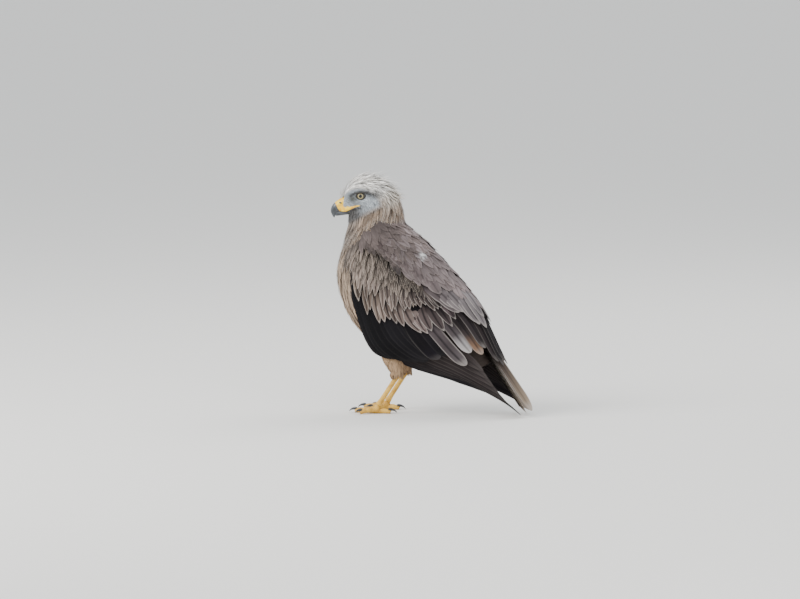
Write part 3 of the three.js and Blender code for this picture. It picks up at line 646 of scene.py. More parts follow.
def bodyCoat(spec):
    ground = spec.get("ground", bodyPoint)
    onBody = ground is bodyPoint
    lo, hi = spec["turn"]

    def keep(a, b, place):
        fits = (fromBack(b) >= lo) & (fromBack(b) <= hi) & ~underWing(place)
        return fits & ~isBare(place) if spec["rows"][1] > 12 else fits

    whole = (0, 360) if onBody else spec["turn"]
    if np.ndim(spec["gap"]):
        a, b = tiled(ground, spec["rows"], whole, *spec["gap"], keep)
    else:
        spacing = lambda a, b: spec["gap"] * mix(1, 0.8, smooth(15.5, 17, a))
        a, b = scatter(ground, spec["rows"], whole, spacing, keep)
    n = len(a)
    size = (0.85 + 0.3 * draw.random(n)) * mix(1, 0.7, smooth(15.0, 17, a))
    lineA, lineB = follow(ground, a, b, draw.normal(0, 8, n), spec["length"] * size, -1)
    lineA = np.clip(lineA, -1.0, 17)
    shape = vaneShape(shortShare, spec["tip"], root=spec.get("stem", 0.4), full=0.35)
    half = spec["half"] * size[:, None] * shape
    rise = spec["rise"] * (0.5 + draw.random(n))
    ruffled = smooth(70, 40, fromBack(b)) * (smooth(16.4, 14.6, a) if onBody else 1)
    ruffled = ruffled * mix(1.4, 1, smooth(10, 30, fromBack(b)))
    rise = rise + spec.get("ruffle", 0) * draw.random(n) ** 3 * ruffled
    level = mix(spec["root"], rise[:, None], shortShare**1.2)
    kind = "broad" if spec["half"] > 3 else "fine"
    points, across = layVanes(ground, lineA, lineB, half, level, kind, thick=0.18, camber=0.05)
    if onBody:
        colour, edge, streak = bodyMarkings(lineA, lineB)
    else:
        colour, edge, streak = bodyMarkings(np.full(lineA.shape, 16.8), lineB * 0.5)
    chance = draw.random(n)
    shade = 1 + (draw.random(n) - 0.5) * 0.2 - spec["shades"] * (chance < 0.3) + spec.get("pale", 0) * (chance > 0.72)
    colour = np.clip(colour * shade[:, None, None], 0, 0.95)
    marking = (edge[:, 0], streak[:, 0], spec["length"] * 0.6)
    v = a if onBody else 16 + a / 4
    patch = (0.02 + 0.96 * (b % 360) / 360, 0.02 + 0.96 * v / 17, patchSize, patchSize)
    return batch(points, across, shortShare, colour, draw.random(n), marking, patch)


for name, spec in bodyCoats.items():
    finish = finishes[spec.get("finish", "body")]
    vanePiece(f"coat_{name}", [bodyCoat(spec)], finish)

# Skin: body, neck, head and thighs in one, inside the coat
thighStops = [
    [20, -14, 128, 24, 12.5], [23, -9, 110, 23, 13], [26, -4, 92, 20, 13.5], [27.5, 0, 76, 14, 11],
    [28, 3, 66, 9, 8],
]
# shade is painted shade: how dark the skin is made away from the face, so the gaps between feathers look shadowed
skinLook = {"voxel": 0.0024, "lastRow": 16.4, "thighDepth": -3.0, "shade": 0.5}


def thighPoint(drop, around, height=0.0, side=1):
    x, y, z, deep, wide = np.moveaxis(atRow(thighStops, drop), -1, 0)
    c, s = np.cos(np.radians(around)), np.sin(np.radians(around))
    return np.stack([side * (x + s * (wide + height)), y + c * (deep + height), z], -1)


def skinPiece():
    a, b = np.meshgrid(np.linspace(0, skinLook["lastRow"], 150), np.arange(96) * 3.75, indexing="ij")
    depth = mix(mix(-4.2, -3.2, smooth(8, 10, a)), -1.4, smooth(12, 14, a))
    grid = bodyPoint(a, b, depth)
    drops, turns = np.meshgrid(np.linspace(0, 4, 24), np.arange(40) * 9, indexing="ij")
    thighs = [lofted(thighPoint(drops, turns, skinLook["thighDepth"], side)) for side in bothSides.values()]
    skin = makePiece("skin", joined([lofted(grid), *thighs]), finishes["body"],
                     ("torso", "neck", "head", "thigh_left", "thigh_right"))
    remesh = skin.modifiers.new("remesh", "REMESH")
    remesh.mode, remesh.voxel_size = "VOXEL", skinLook["voxel"]
    settle = skin.modifiers.new("settle", "SMOOTH")
    settle.factor, settle.iterations = 0.5, 3
    shaped = bpy.data.meshes.new_from_object(skin.evaluated_get(bpy.context.evaluated_depsgraph_get()))
    skin.modifiers.clear()
    skin.data = shaped
    shaped.name = "skin"
    shaped.polygons.foreach_set("use_smooth", np.ones(len(shaped.polygons), bool))
    tree = kdtree.KDTree(a.size)
    for i, p in enumerate((grid.reshape(-1, 3) + floorShift) * mm):
        tree.insert(p, i)
    tree.balance()
    near = np.array([tree.find(v.co)[1] for v in shaped.vertices])
    row, around = a.ravel()[near], b.ravel()[near]
    height = np.array([v.co.z for v in shaped.vertices]) / mm
    colour = mix(bodyMarkings(row, around)[0], paint(plumage["trousers"]), smooth(112, 100, height)[:, None])
    # painted shade: away from the face the skin is darkened by skinLook's shade
    onFace = smooth(11.2, 12, row) * smooth(55, 75, fromBack(around))
    addMarks(shaped, colour * mix(skinLook["shade"], 1.0, onFace)[:, None])
    print("skin", len(near), "points")


skinPiece()

# Trousers: loose feathers down each thigh, the last of them hanging past the heel
trousers = {"gap": 4.6, "length": 22, "half": 3.0, "root": -2.6, "rise": 1.4, "hang": 12, "edge": 0.25, "streak": 0.2}


def trouserCoat(side):
    ground = lambda a, b, height=0.0: thighPoint(a, b, height, side)
    spacing = lambda a, b: np.full(a.shape, trousers["gap"])
    a, b = scatter(ground, (0.2, 3.9), (0, 360), spacing, lambda a, b, p: ~underWing(p))
    n = len(a)
    size = 0.85 + 0.3 * draw.random(n)
    length = trousers["length"] * size * mix(1, 0.5, smooth(2.5, 4, a))
    lineA, lineB = follow(ground, a, b, draw.normal(0, 8, n), length)
    half = trousers["half"] * size[:, None] * vaneShape(shortShare, "lance")
    level = mix(trousers["root"], trousers["rise"], shortShare) * np.ones((n, 1))
    points, across = layVanes(ground, np.clip(lineA, 0, 4), lineB, half, level, "fine", thick=0.2, camber=0.1)
    points[..., 2] -= trousers["hang"] * np.clip(lineA - 4, 0, 0.7)[..., None]
    colour = paint(plumage["trousers"]) * (0.85 + 0.3 * draw.random((n, 1)))
    patch = (0.05 + 0.9 * (b % 360) / 360, 0.05 + 0.9 * a / 4, patchSize, patchSize)
    marking = (trousers["edge"], trousers["streak"], 12.0)
    return batch(points, across, shortShare, colour, draw.random(n), marking, patch)


for label, side in bothSides.items():
    vanePiece(f"trousers_{label}", [trouserCoat(side)], finishes["body"])

# Tiers of a folded wing, front to back: lines of roots and tips as down the trunk and round it. Width goes
# from a tier's first feather to its last, and lift, the height over the wing's surface, from root to tip.
wingTiers = {
    "primaries": {
        "count": 11, "roots": [[-176, 126], [-204, 122], [-238, 116]],
        "tips": [[56, 131], [104, 123], [121, 115], [120, 107], [110, 99], [96, 91], [80, 83], [62, 76], [44, 71],
                 [28, 66]],
        "width": (13, 15), "lift": (-9.5, -12), "climb": 0.5, "slope": 0.03, "tip": "oval", "ragged": 0,
        "tipLift": 4, "colour": "#18161a", "rearColour": "#352e2d", "edge": 0.04, "streak": 0.5,
    },
    "secondaries": {
        "count": 13, "roots": [[-232, 122], [-195, 92], [-160, 64]],
        "tips": [[-86, 128], [-54, 119], [-36, 103], [-34, 92], [-26, 84]],
        "width": (14, 15), "lift": (-7, -5.0), "climb": 0.06, "slope": 0.1, "tip": "round", "ragged": 9,
        "colour": "#0f0e11", "rearColour": "#141215", "edge": 0.012, "streak": 0.3, "contrast": 0.6,
    },
    "tertials": {
        "count": 8, "roots": [[-150, 76], [-142, 66], [-136, 55], [-132, 46], [-130, 36], [-126, 22], [-124, 12],
                              [-124, 4]],
        "tips": [[-30, 97], [4, 81], [-9, 61], [4, 47], [-2, 35], [28, 24], [38, 14], [32, 4]],
        "width": (11, 9.5), "lift": (-8, -2.2), "climb": 0.25, "slope": 0.12, "tip": "round", "ragged": 0,
        "shades": ["#0d0b0e", "#463f40", "#4f4849", "#352e2e", "#332d2e", "#292323", "#1c1819", "#1c1819"],
        "tipShades": ["#141116", "#4e4849", "#a39d9c", "#6b5342", "#3a3434", "#2b2525", "#201c1d", "#201c1d"],
        "edge": [0.06, 0.3, 0.25, 0.25, 0.2, 0.12, 0.12, 0.1], "streak": 0.7,
    },
    "greater": {
        "count": 17, "roots": [[-243, 112], [-208, 103], [-178, 91], [-150, 80], [-122, 66], [-126, 44]],
        "tips": [[-203, 120], [-160, 114], [-128, 99], [-92, 86], [-68, 74], [-73, 50]],
        "width": (7.0, 9.5), "lift": (-7.5, -1.2), "climb": 0.05, "slope": 0.08, "tip": "pointed", "ragged": 22,
        "astray": 5, "colour": "#75675b", "rearColour": "#54494a", "edge": 0.42, "streak": 0.9, "contrast": 1.1,
    },
    "median": {
        "count": 24, "roots": [[-252, 108], [-226, 96], [-194, 82], [-164, 70], [-152, 56], [-146, 46]],
        "tips": [[-226, 120], [-190, 111], [-158, 95], [-126, 79], [-108, 62], [-96, 50]],
        "width": (5.0, 7.0), "lift": (-6.5, 0.2), "climb": 0.04, "slope": 0.08, "tip": "pointed", "ragged": 22,
        "astray": 5, "colour": "#75685f", "rearColour": "#574d4a", "edge": 0.4, "streak": 0.9, "contrast": 1.1,
    },
    "scapulars": {
        "count": 9, "roots": [[-150, 50], [-140, 34], [-136, 10]],
        "tips": [[-92, 43], [-72, 39], [-58, 32], [-36, 26], [-40, 12]],
        "width": (10, 10), "lift": (-4, 3.0), "climb": 0.1, "slope": 0.09, "tip": "oval", "ragged": 20,
        "astray": 2, "colour": "#4d4545", "rearColour": "#7c7575", "edge": 0.36, "streak": 0.6, "contrast": 0.7,
    },
    "scapularEdge": {
        "count": 13, "roots": [[-262, 60], [-226, 53], [-190, 45], [-162, 40]],
        "tips": [[-222, 63], [-184, 57], [-150, 51], [-116, 43]],
        "width": (9, 9), "lift": (-3, 3.2), "climb": 0.04, "slope": 0.12, "tip": "oval", "ragged": 8,
        "astray": 2, "colour": "#574c4a", "rearColour": "#6b605f", "edge": 0.12, "streak": 0.4, "contrast": 0.4,
    },
}
# The wing's broad tones: painted shadow below the scapulars' edge, whose line is given as down and around,
# painted shade along the wing's front edge, soft patches, and a small worn white place on the left wing
scapularLine = np.transpose([
    [-257, 83], [-245, 74], [-207, 66], [-172, 62], [-133, 54], [-108, 51], [-77, 47], [-63, 40], [-31, 36]])
patchWaves = [[0.3, 0.9, 0.1], [1.2, 1.7, 2.0], [2.1, 1.3, 4.0], [2.8, 2.3, 1.0], [0.8, 2.9, 3.1]]
worn = {"down": -186, "around": 30, "strength": 0.85, "colour": 0.7}


def patches(a, b, size):
    x, y = a / size, b * 1.3 / size
    waves = [np.sin((x * np.cos(turn) + y * np.sin(turn)) * rate * 2 + start) for turn, rate, start in patchWaves]
    return sum(waves) / len(waves)


def wingShade(down, around, colour, side):
    below = (around - np.interp(down, *scapularLine, left=96, right=20)) * 1.3
    # painted shadow: the coverts darkened in a band just below the scapulars' edge
    shadow = bell(below, 5, 7) * (below > -1) * smooth(-20, -60, down) * smooth(-252, -218, down)
    backTone = mix(1, mix(1.45, 0.9, smooth(14, 44, around)), (below < 0) * smooth(-60, -110, down))
    # painted shade: a wider, fainter darkening further below that edge
    underEdgeShade = smooth(30, 10, below) * (below > 0) * smooth(-100, -150, down)
    # painted shade: the wing's front edge darkened where it meets the breast
    shoulder = smooth(120, 130, around) * smooth(-190, -215, down)
    patchTone = 1 + 0.3 * patches(down, around, 34) + 0.14 * patches(around, down, 11)
    tone = (1 - 0.72 * shadow) * backTone * patchTone * (1 - 0.3 * underEdgeShade) * (1 - 0.5 * shoulder)
    spot = np.exp(-((down - worn["down"]) ** 2 / 24 + (around - worn["around"]) ** 2 / 9))
    spot = worn["strength"] * spot * (below < 0) * (side > 0)
    return mix(colour * tone[..., None], worn["colour"], spot[..., None])


# A long feather's own square in the UV map of its piece
def cellPatch(first, n, cells):
    cell = first + np.arange(n)
    return (cell % cells + 0.5) / cells, (cell // cells + 0.5) / cells, 0.8 / cells, 0.8 / cells


def wingTier(spec, side, cells, first):
    n = spec["count"]
    order = np.arange(n) / (n - 1)
    root, tip = alongRows(spec["roots"], order), alongRows(spec["tips"], order)
    tip[:, 0] += (draw.random(n) - 0.5) * spec["ragged"]
    tip[:, 1] += (draw.random(n) - 0.5) * spec.get("astray", 0)
    share = flightShare
    lineA, lineB = (mix(root[:, k, None], tip[:, k, None], share) for k in (0, 1))
    widest = mix(*spec["width"], order) * (0.9 + 0.2 * draw.random(n))
    half = widest[:, None] * vaneShape(share, spec["tip"])
    level = mix(*spec["lift"], smooth(0, 0.6, share)) + spec["climb"] * (np.arange(n) - n / 2)[:, None]
    level = level + spec.get("tipLift", 0) * smooth(0.65, 1, share)
    points, across = layVanes(wingGround(side), lineA, lineB, half, level, "flight", thick=0.3, camber=0.06,
                              slope=spec["slope"], shift=0.12)
    if "shades" in spec:
        colour = np.array([[paint(code)] for code in spec["shades"]])
        ends = np.array([[paint(code)] for code in spec["tipShades"]])
        colour = mix(colour, ends, smooth(0.68, 0.9, share)[:, None])
    else:
        colour = mix(paint(spec["colour"]), paint(spec["rearColour"]), order[:, None, None])
    colour = wingShade(lineA, lineB, colour, side)
    colour = colour * (1 + spec.get("contrast", 0.2) * (draw.random((n, 1, 1)) - 0.5))
    length = np.hypot(tip[:, 0] - root[:, 0], (tip[:, 1] - root[:, 1]) * 1.2)
    marking = (spec["edge"], spec["streak"], length * 0.7)
    return batch(points, across, share, colour, draw.random(n), marking, cellPatch(first, n, cells))


# Small coverts over the shoulder of each wing; low is how far down they reach, at each of lowTurns round it
lowTurns = [4, 58, 74, 95, 111, 122]
shoulderCoats = [
    {
        "down": (-266, -110), "around": (50, 134), "gap": (8.0, 3.8), "length": 29, "half": 2.9,
        "lift": (-5.5, 1.0), "lean": 22, "loose": 0.6, "tip": "lance", "low": [-250, -130, -164, -202, -236, -252],
        "colour": "#74685f", "edge": 0.45, "streak": 1.0, "contrast": 1.25,
    },
    {
        "down": (-262, -78), "around": (3, 72), "gap": (17.0, 7.0), "length": 54, "half": 6.6,
        "lift": (1.0, 3.4), "lean": 3, "loose": 0.5, "tip": "pointed", "low": [-92, -190, -290, -300, -300, -300],
        "colour": "#6b605f", "edge": 0.1, "streak": 0.55, "contrast": 0.4,
    },
    {
        "down": (-272, -190), "around": (4, 90), "gap": (9.0, 4.6), "length": 34, "half": 3.9,
        "lift": (1.2, 3.9), "lean": 3, "loose": 0.5, "tip": "pointed", "low": [-196, -204, -246, -268, -276, -276],
        "colour": "#5a4f4c", "edge": 0.08, "streak": 0.4, "contrast": 0.3,
    },
]


def shoulderCoat(spec, side):
    ground = wingGround(side)
    keep = lambda a, b, p: a < np.interp(b, lowTurns, spec["low"])
    a, b = tiled(ground, spec["down"], spec["around"], *spec["gap"], keep, spec["loose"])
    n = len(a)
    size = 0.8 + 0.4 * draw.random(n)
    lean = spec["lean"] + draw.normal(0, 7, n)
    lineA, lineB = follow(ground, a, b, lean, spec["length"] * size)
    half = spec["half"] * size[:, None] * vaneShape(shortShare, spec["tip"])
    low, high = spec["lift"]
    level = mix(low, high * (0.7 + 0.6 * draw.random((n, 1))), shortShare**1.2)
    points, across = layVanes(ground, lineA, lineB, half, level, "broad", thick=0.2, camber=0.05)
    colour = wingShade(lineA, lineB, paint(spec["colour"]), side)
    colour = colour * (1 + spec["contrast"] * (draw.random((n, 1, 1)) - 0.5))
    patch = (0.05 + 0.9 * b / 140, 0.05 + 0.9 * (a + 280) / 210, patchSize, patchSize)
    marking = (spec["edge"], spec["streak"], 14.0)
    return batch(points, across, shortShare, colour, draw.random(n), marking, patch)


# A pad inside each wing, painted dark as shade, so that no light shows between its feathers
def wingPad(side):
    a, b = np.meshgrid(np.linspace(-262, 20, 40), np.linspace(3, 136, 40), indexing="ij")
    u, v = np.meshgrid(np.linspace(0, 1, 40), np.linspace(0, 1, 40), indexing="ij")
    edge = smooth(0, 0.16, np.minimum(np.minimum(u, 1 - u), np.minimum(v, 1 - v)))
    sunk = 9 * smooth(0.35, 0.6, u)
    outer = wingPoint(a, b, mix(-9, -7.5, edge) - sunk - 8 * smooth(0.8, 1, u))
    inner = wingPoint(a, b, -14 - 8 * edge - sunk)
    return sided(lofted(np.concatenate([outer, inner[:, ::-1]], 1)), side)


for label, side in bothSides.items():
    cells = math.ceil(math.sqrt(sum(spec["count"] for spec in wingTiers.values())))
    batches, first = [], 0
    for spec in wingTiers.values():
        batches.append(wingTier(spec, side, cells, first))
        first += spec["count"]
    coverts = [shoulderCoat(spec, side) for spec in shoulderCoats]
    vanePiece(f"wing_{label}_vanes", batches, finishes["flight"], (f"wing_{label}",))
    vanePiece(f"wing_{label}_coverts", coverts, finishes["body"])
    pad = makePiece(f"wing_{label}_pad", wingPad(side), finishes["body"])
    addMarks(pad.data, paint("#3b322d"))

# Tail: six pairs of feathers, forked, with coverts over and under the root. Start and reach are measured along
# the tail; the main tier, the first, reaches to its tip. A tier's fan is how far aside its first pair lies and
# how much further each next pair, at the roots and at the tips.
mainFan, covertFan = ((1.4, 1.2), (3.6, 2.9)), ((2, 3.0), (4.5, 6.5))
tailTiers = [
    {"pairs": 6, "start": 40, "width": 12.5, "level": 2.6, "edge": 0.5, "streak": 0.4,
     "colours": ("#4d423b", "#8d7c69")},
    {"pairs": 3, "start": 30, "reach": 118, "width": 11.5, "level": 5.4, "edge": 0.5, "streak": 0.35,
     "colours": ("#5a4c43", "#6b5b50")},
    {"pairs": 3, "start": 24, "reach": 92, "width": 11.5, "level": 7.2, "edge": 0.5, "streak": 0.35,
     "colours": ("#5e5047", "#6d5d52")},
    {"pairs": 3, "start": 30, "reach": 126, "width": 11.5, "level": -4.6, "edge": 0.4, "streak": 0.25,
     "colours": ("#7a6450", "#8a7159")},
    {"pairs": 3, "start": 20, "reach": 98, "width": 11.5, "level": -6.4, "edge": 0.4, "streak": 0.25,
     "colours": ("#7f6852", "#8a7159")},
]


def tailTier(spec, first):
    pairs, share = spec["pairs"], flightShare
    index, side = np.repeat(np.arange(pairs), 2), np.tile([1, -1], pairs)
    n = len(index)
    roots, ends = covertFan if "reach" in spec else mainFan
    spread = mix(roots[0] + index[:, None] * roots[1], ends[0] + index[:, None] * ends[1], share)
    if "reach" in spec:
        length = spec["reach"] - index * 7 + draw.normal(0, 2.5, n)
        away = -1 if spec["level"] > 0 else 1
        level = spec["level"] + away * (index * 0.8 + 0.35 * (side > 0))
    else:
        length = tailLength + index * tail["fork"] / (pairs - 1) - tail["fork"]
        level = np.where(index > 0, spec["level"] - index * 0.95, np.where(side > 0, 3.4, 2.7))
    lineA = mix(float(spec["start"]), length[:, None], share)
    half = spec["width"] * vaneShape(share, "round", root=0.5, full=0.35) * np.ones((n, 1))
    lineB, level = side[:, None] * spread, level[:, None] * np.ones(share.shape)
    points, across = layVanes(tailPoint, lineA, lineB, half, level, "flight", thick=0.3, camber=0.02)
    points[..., 2] = np.maximum(points[..., 2], 0.15)  # clear of the floor
    base, end = map(paint, spec["colours"])
    colour = mix(base, end, smooth(0.55, 1, share)[:, None]) * (0.9 + 0.2 * draw.random((n, 1, 1)))
    marking = (spec["edge"], spec["streak"], length * 0.7)
    return batch(points, across, share, colour, draw.random(n), marking, cellPatch(first, n, 6))


tailBatches, first = [], 0
for spec in tailTiers:
    tailBatches.append(tailTier(spec, first))
    first += spec["pairs"] * 2
vanePiece("tail_vanes", tailBatches, finishes["flight"], ("tail",))
a, b = np.meshgrid(np.linspace(10, 80, 20), np.arange(24) * 15, indexing="ij")
wide, tall = mix(17, 9, smooth(40, 80, a)), mix(11, 2.2, smooth(30, 80, a))
tailRoot = lofted(tailPoint(a, np.cos(np.radians(b)) * wide, np.sin(np.radians(b)) * tall - 0.5))
addMarks(makePiece("tail_root", tailRoot, finishes["body"]).data, paint("#4a3f37"))


# Bill, cere, eyes, legs and claws
def hornFinish(name, look):
    sheet = Sheet(name)
    grain = sheet.noise(look["grain"], 5, 0.6)
    broad = sheet.noise(look["broad"], 2)
    colour = sheet.blend(broad.rise(0.3, 0.7), rgba(look["dark"]), rgba(look["light"]))
    normal = sheet.bump(grain, look["bump"], 0.0003)
    sheet.shader.inputs["Coat Weight"].default_value = look["coat"]
    return sheet.feed(Base_Color=colour, Roughness=look["rough"] + grain * 0.15, Normal=normal)


hornLooks = {
    "billHorn": {
        "dark": "#2a2d31", "light": "#494d52", "grain": 500, "broad": 120, "bump": 0.15, "rough": 0.28, "coat": 0.2,
    },
    "clawHornAndNostrilShade": {
        "dark": "#141414", "light": "#26272a", "grain": 500, "broad": 160, "bump": 0.15, "rough": 0.25, "coat": 0.3,
    },
    "cereSkin": {
        "dark": "#d99a06", "light": "#f2c92a", "grain": 700, "broad": 160, "bump": 0.3, "rough": 0.45, "coat": 0.1,
    },
    "legSkin": {
        "dark": "#b98a2c", "light": "#d6aa45", "grain": 600, "broad": 90, "bump": 0.4, "rough": 0.5, "coat": 0.05,
    },
    "lidSkinAndBrowShade": {
        "dark": "#191714", "light": "#2f2b26", "grain": 900, "broad": 300, "bump": 0.3, "rough": 0.5, "coat": 0.1,
    },
}
horn = {name: hornFinish(name, look) for name, look in hornLooks.items()}

# Sections of cere and bill from root to tip: top and bottom (each y, z) and half width
billRows = {
    "cere": [
        [-90, 359.5, -82, 334, 13], [-94, 357, -86, 334, 12], [-100.5, 352.6, -93.5, 332.8, 9.6],
        [-105, 349.4, -97.6, 331.8, 8.2], [-108.9, 346.3, -100.4, 331.3, 7.3],
    ],
    "hook": [
        [-104, 349, -96, 331.6, 7.0], [-108.9, 346, -100.6, 331.3, 7], [-112.8, 342, -103.6, 330.5, 6.4],
        [-115.4, 336.6, -106.2, 328.9, 5.2], [-115.7, 331, -107.8, 327, 3.9], [-113.8, 325.6, -108.6, 324.2, 2.3],
        [-110.9, 321.2, -109.5, 321.4, 0.5],
    ],
    "under": [
        [-86, 334, -86, 326.4, 9], [-94, 333.5, -94, 325.2, 6.8], [-101, 332.2, -100.4, 324.4, 5.4],
        [-107, 330, -106, 323.8, 3.8], [-109.2, 327, -108.2, 324.4, 2.2],
    ],
}
gapeStops = [[-98, 337.0, 5.2], [-91, 336.8, 4.8], [-84, 338.6, 3.2], [-75, 341.4, 1.7], [-66, 343.4, 0.8]]
nostril = {"y": -99.4, "z": 346.6, "aside": 10.35, "length": 2.2, "height": 1.4, "lean": 0.7, "sunk": 0.5}


# boxy squares the lower half of a section with -1 and the upper half with 1.
def billForm(rows, boxy, count=26, sides=36):
    ty, tz, by, bz, width = np.moveaxis(alongRows(rows, np.linspace(0, 1, count)), -1, 0)[..., None]
    a = (np.arange(sides) + 0.5) / sides * 2 * np.pi
    c, w = np.cos(a), np.sin(a)
    power = np.where(c * boxy > 0, 0.55, 0.95)
    c, w = np.sign(c) * np.abs(c) ** power, np.sign(w) * np.abs(w) ** power
    return lofted(np.stack([w * width, (ty + by) / 2 + (ty - by) / 2 * c, (tz + bz) / 2 + (tz - bz) / 2 * c], -1))


# Half width of the face at y and z
def faceWidth(y, z):
    fy, fz, by, bz, width = np.moveaxis(atRow(bodyRows, np.arange(11.5, 17, 0.05)), -1, 0)
    share = ((y - fy) * (by - fy) + (z - fz) * (bz - fz)) / ((by - fy) ** 2 + (bz - fz) ** 2)
    k = int(np.argmin(np.hypot(y - mix(fy, by, share), z - mix(fz, bz, share))))
    return float(width[k] * math.sqrt(max(0, 1 - (2 * share[k] - 1) ** 2)))


# A limb through stops (x, y, z and two half sizes); hint is the way that its section's second size faces.
def limbForm(stops, hint, sides=16, count=None, low=-math.inf):
    stops = np.asarray(stops, float)
    if count:
        stops = alongRows(stops, np.linspace(0, 1, count))
    at, wide, high = stops[:, :3], stops[:, 3, None, None], stops[:, 4, None, None]
    run = unit(np.gradient(at, axis=0))
    side = unit(np.cross(hint, run))
    up = np.cross(run, side)
    a = ((np.arange(sides) + 0.5) / sides * 2 * np.pi)[:, None]
    rings = at[:, None] + side[:, None] * np.cos(a) * wide + up[:, None] * np.sin(a) * high
    rings[..., 2] = np.maximum(rings[..., 2], low)
    return lofted(rings)


upright = (0, 0, 1)
gapeRoute = [[faceWidth(y, z) - 0.8, y, z, 1.9 - 0.2 * i, high] for i, (y, z, high) in enumerate(gapeStops)]
gapeRoute[0][0] = 6.4  # tucked under the cere
gape = limbForm(gapeRoute, upright, count=24)
cere = joined([billForm(billRows["cere"], -1)] + [sided(gape, side) for side in bothSides.values()])
makePiece("cere_skin", onHead(cere), horn["cereSkin"], ("cere",))
for label, side in bothSides.items():
    # painted shade: each nostril is a small oval in the claws' near-black finish, standing for the shadow inside the
    # opening
    t, ring = np.arange(20) / 20 * 2 * np.pi, np.array([0.05, 0.5, 0.9, 1.0])[:, None]
    back = ring * (nostril["length"] * np.cos(t) - nostril["lean"] * np.sin(t))
    up = ring * nostril["height"] * np.sin(t)
    out = nostril["aside"] + back * 0.37 - up * 0.25 - nostril["sunk"] * ring**4
    opening = lofted(np.stack([out, nostril["y"] + back, nostril["z"] + up], -1))
    makePiece(f"nostril_{label}", onHead(opening, side), horn["clawHornAndNostrilShade"])
makePiece("bill_hook", onHead(billForm(billRows["hook"], -1)), horn["billHorn"], ("bill_upper",))
makePiece("bill_under", onHead(billForm(billRows["under"], 1)), horn["billHorn"], ("bill_lower",))

# The eye's colours by distance from the middle of the gaze, in millimetres
eyeLook = {
    "irisDark": "#85774f", "irisLight": "#b0a57c", "irisEdge": "#3a3222", "pupil": "#050505", "rim": "#0b0a09",
    "edgeFrom": 3.9, "edgeTo": 5.4, "rimFrom": 5.5, "rimTo": 6.0, "soft": 0.15,
}


def eyeFinish():
    sheet = Sheet("eyeGlass")
    off = sheet.attribute("gaze", "Fac")
    iris = sheet.blend(sheet.noise(900, 4), rgba(eyeLook["irisDark"]), rgba(eyeLook["irisLight"]))
    iris = sheet.blend(off.rise(eyeLook["edgeFrom"], eyeLook["edgeTo"]), iris, rgba(eyeLook["irisEdge"]))
    pupil = 1 - off.rise(eye["pupil"] - eyeLook["soft"], eye["pupil"] + eyeLook["soft"])
    colour = sheet.blend(pupil, iris, rgba(eyeLook["pupil"]))
    colour = sheet.blend(off.rise(eyeLook["rimFrom"], eyeLook["rimTo"]), colour, rgba(eyeLook["rim"]))
    for socket, value in {"Coat Weight": 0.35, "Specular IOR Level": 0.3, "Coat Roughness": 0.03}.items():
        sheet.shader.inputs[socket].default_value = value
    return sheet.feed(Base_Color=colour, Roughness=0.35)


def eyeAxes(side):
    turnAside = math.radians(eye["forward"])
    gaze = np.array([side * math.cos(turnAside), -math.sin(turnAside), 0])
    return np.array(eye["place"]) * [side, 1, 1], gaze, np.cross(upright, gaze)


# The eyeball bulges at the cornea. Beside its form comes each point's distance from the gaze.
def eyeballForm(side):
    middle, gaze, beside = eyeAxes(side)
    a, t = np.linspace(0.03, math.pi * 0.8, 40)[:, None], np.arange(48) / 48 * 2 * np.pi
    reach = (eye["radius"] - 0.5 + 0.9 * bell(a, 0, 0.55)) * np.cos(a)
    ring = (eye["radius"] - 0.4) * np.sin(a)
    turns = np.cos(t)[:, None] * beside + np.sin(t)[:, None] * upright
    form = lofted(middle + reach[..., None] * gaze + ring[..., None] * turns)
    return form, np.append(np.repeat(ring, len(t)), [0, 9])


# Lids: a rolled rim round the opening, heavier above
def lidForm(side, stops=56, sides=14):
    middle, gaze, beside = eyeAxes(side)
    t, roll = np.arange(stops)[:, None] / stops * 2 * np.pi, np.arange(sides) / sides * 2 * np.pi
    opening = eye["opening"] + 0.9
    size = 1.2 + 1.1 * np.clip(np.sin(t + 0.25), 0, 1)
    wide = 1 + 0.12 * np.abs(np.cos(t)) ** 3
    high = np.where(np.sin(t) > 0, 0.84, 0.92)
    ahead = math.sqrt(eye["radius"] ** 2 - opening**2) + 0.2 + size * 0.9 * np.sin(roll)
    out = opening + size * np.cos(roll)
    across, up = out * np.cos(t) * wide, out * np.sin(t) * high
    points = middle + ahead[..., None] * gaze + across[..., None] * beside + up[..., None] * upright
    faces = []
    for k in range(stops):
        for j in range(sides):
            after, nextStop = (j + 1) % sides, (k + 1) % stops
            faces.append((k * sides + j, k * sides + after, nextStop * sides + after, nextStop * sides + j))
    return points.reshape(-1, 3), faces


# Ridge of the brow, which shades the top of the eye; its dark finish, shared with the lids' skin, is painted shade
# for the shadow line under the brow
browStops = [
    [21, -80, 361.8, 0.6, 0.6], [26, -73, 364.0, 1.4, 1.3], [28.6, -65, 365.1, 1.7, 1.6],
    [28.8, -56, 364.8, 1.4, 1.3], [27.8, -47, 363.6, 0.5, 0.5],
]
eyeGlass = eyeFinish()
for label, side in bothSides.items():
    ball, gazeOff = eyeballForm(side)
    piece = makePiece(f"eyeball_{label}", onHead(ball), eyeGlass, (f"eye_{label}",))
    piece.data.attributes.new("gaze", "FLOAT", "POINT").data.foreach_set("value", gazeOff.astype(np.float32))
    makePiece(f"eyelid_{label}", onHead(lidForm(side)), horn["lidSkinAndBrowShade"])
for label, side in bothSides.items():
    brow = limbForm(browStops, upright, count=30)
    makePiece(f"brow_{label}", onHead(brow, side), horn["lidSkinAndBrowShade"])

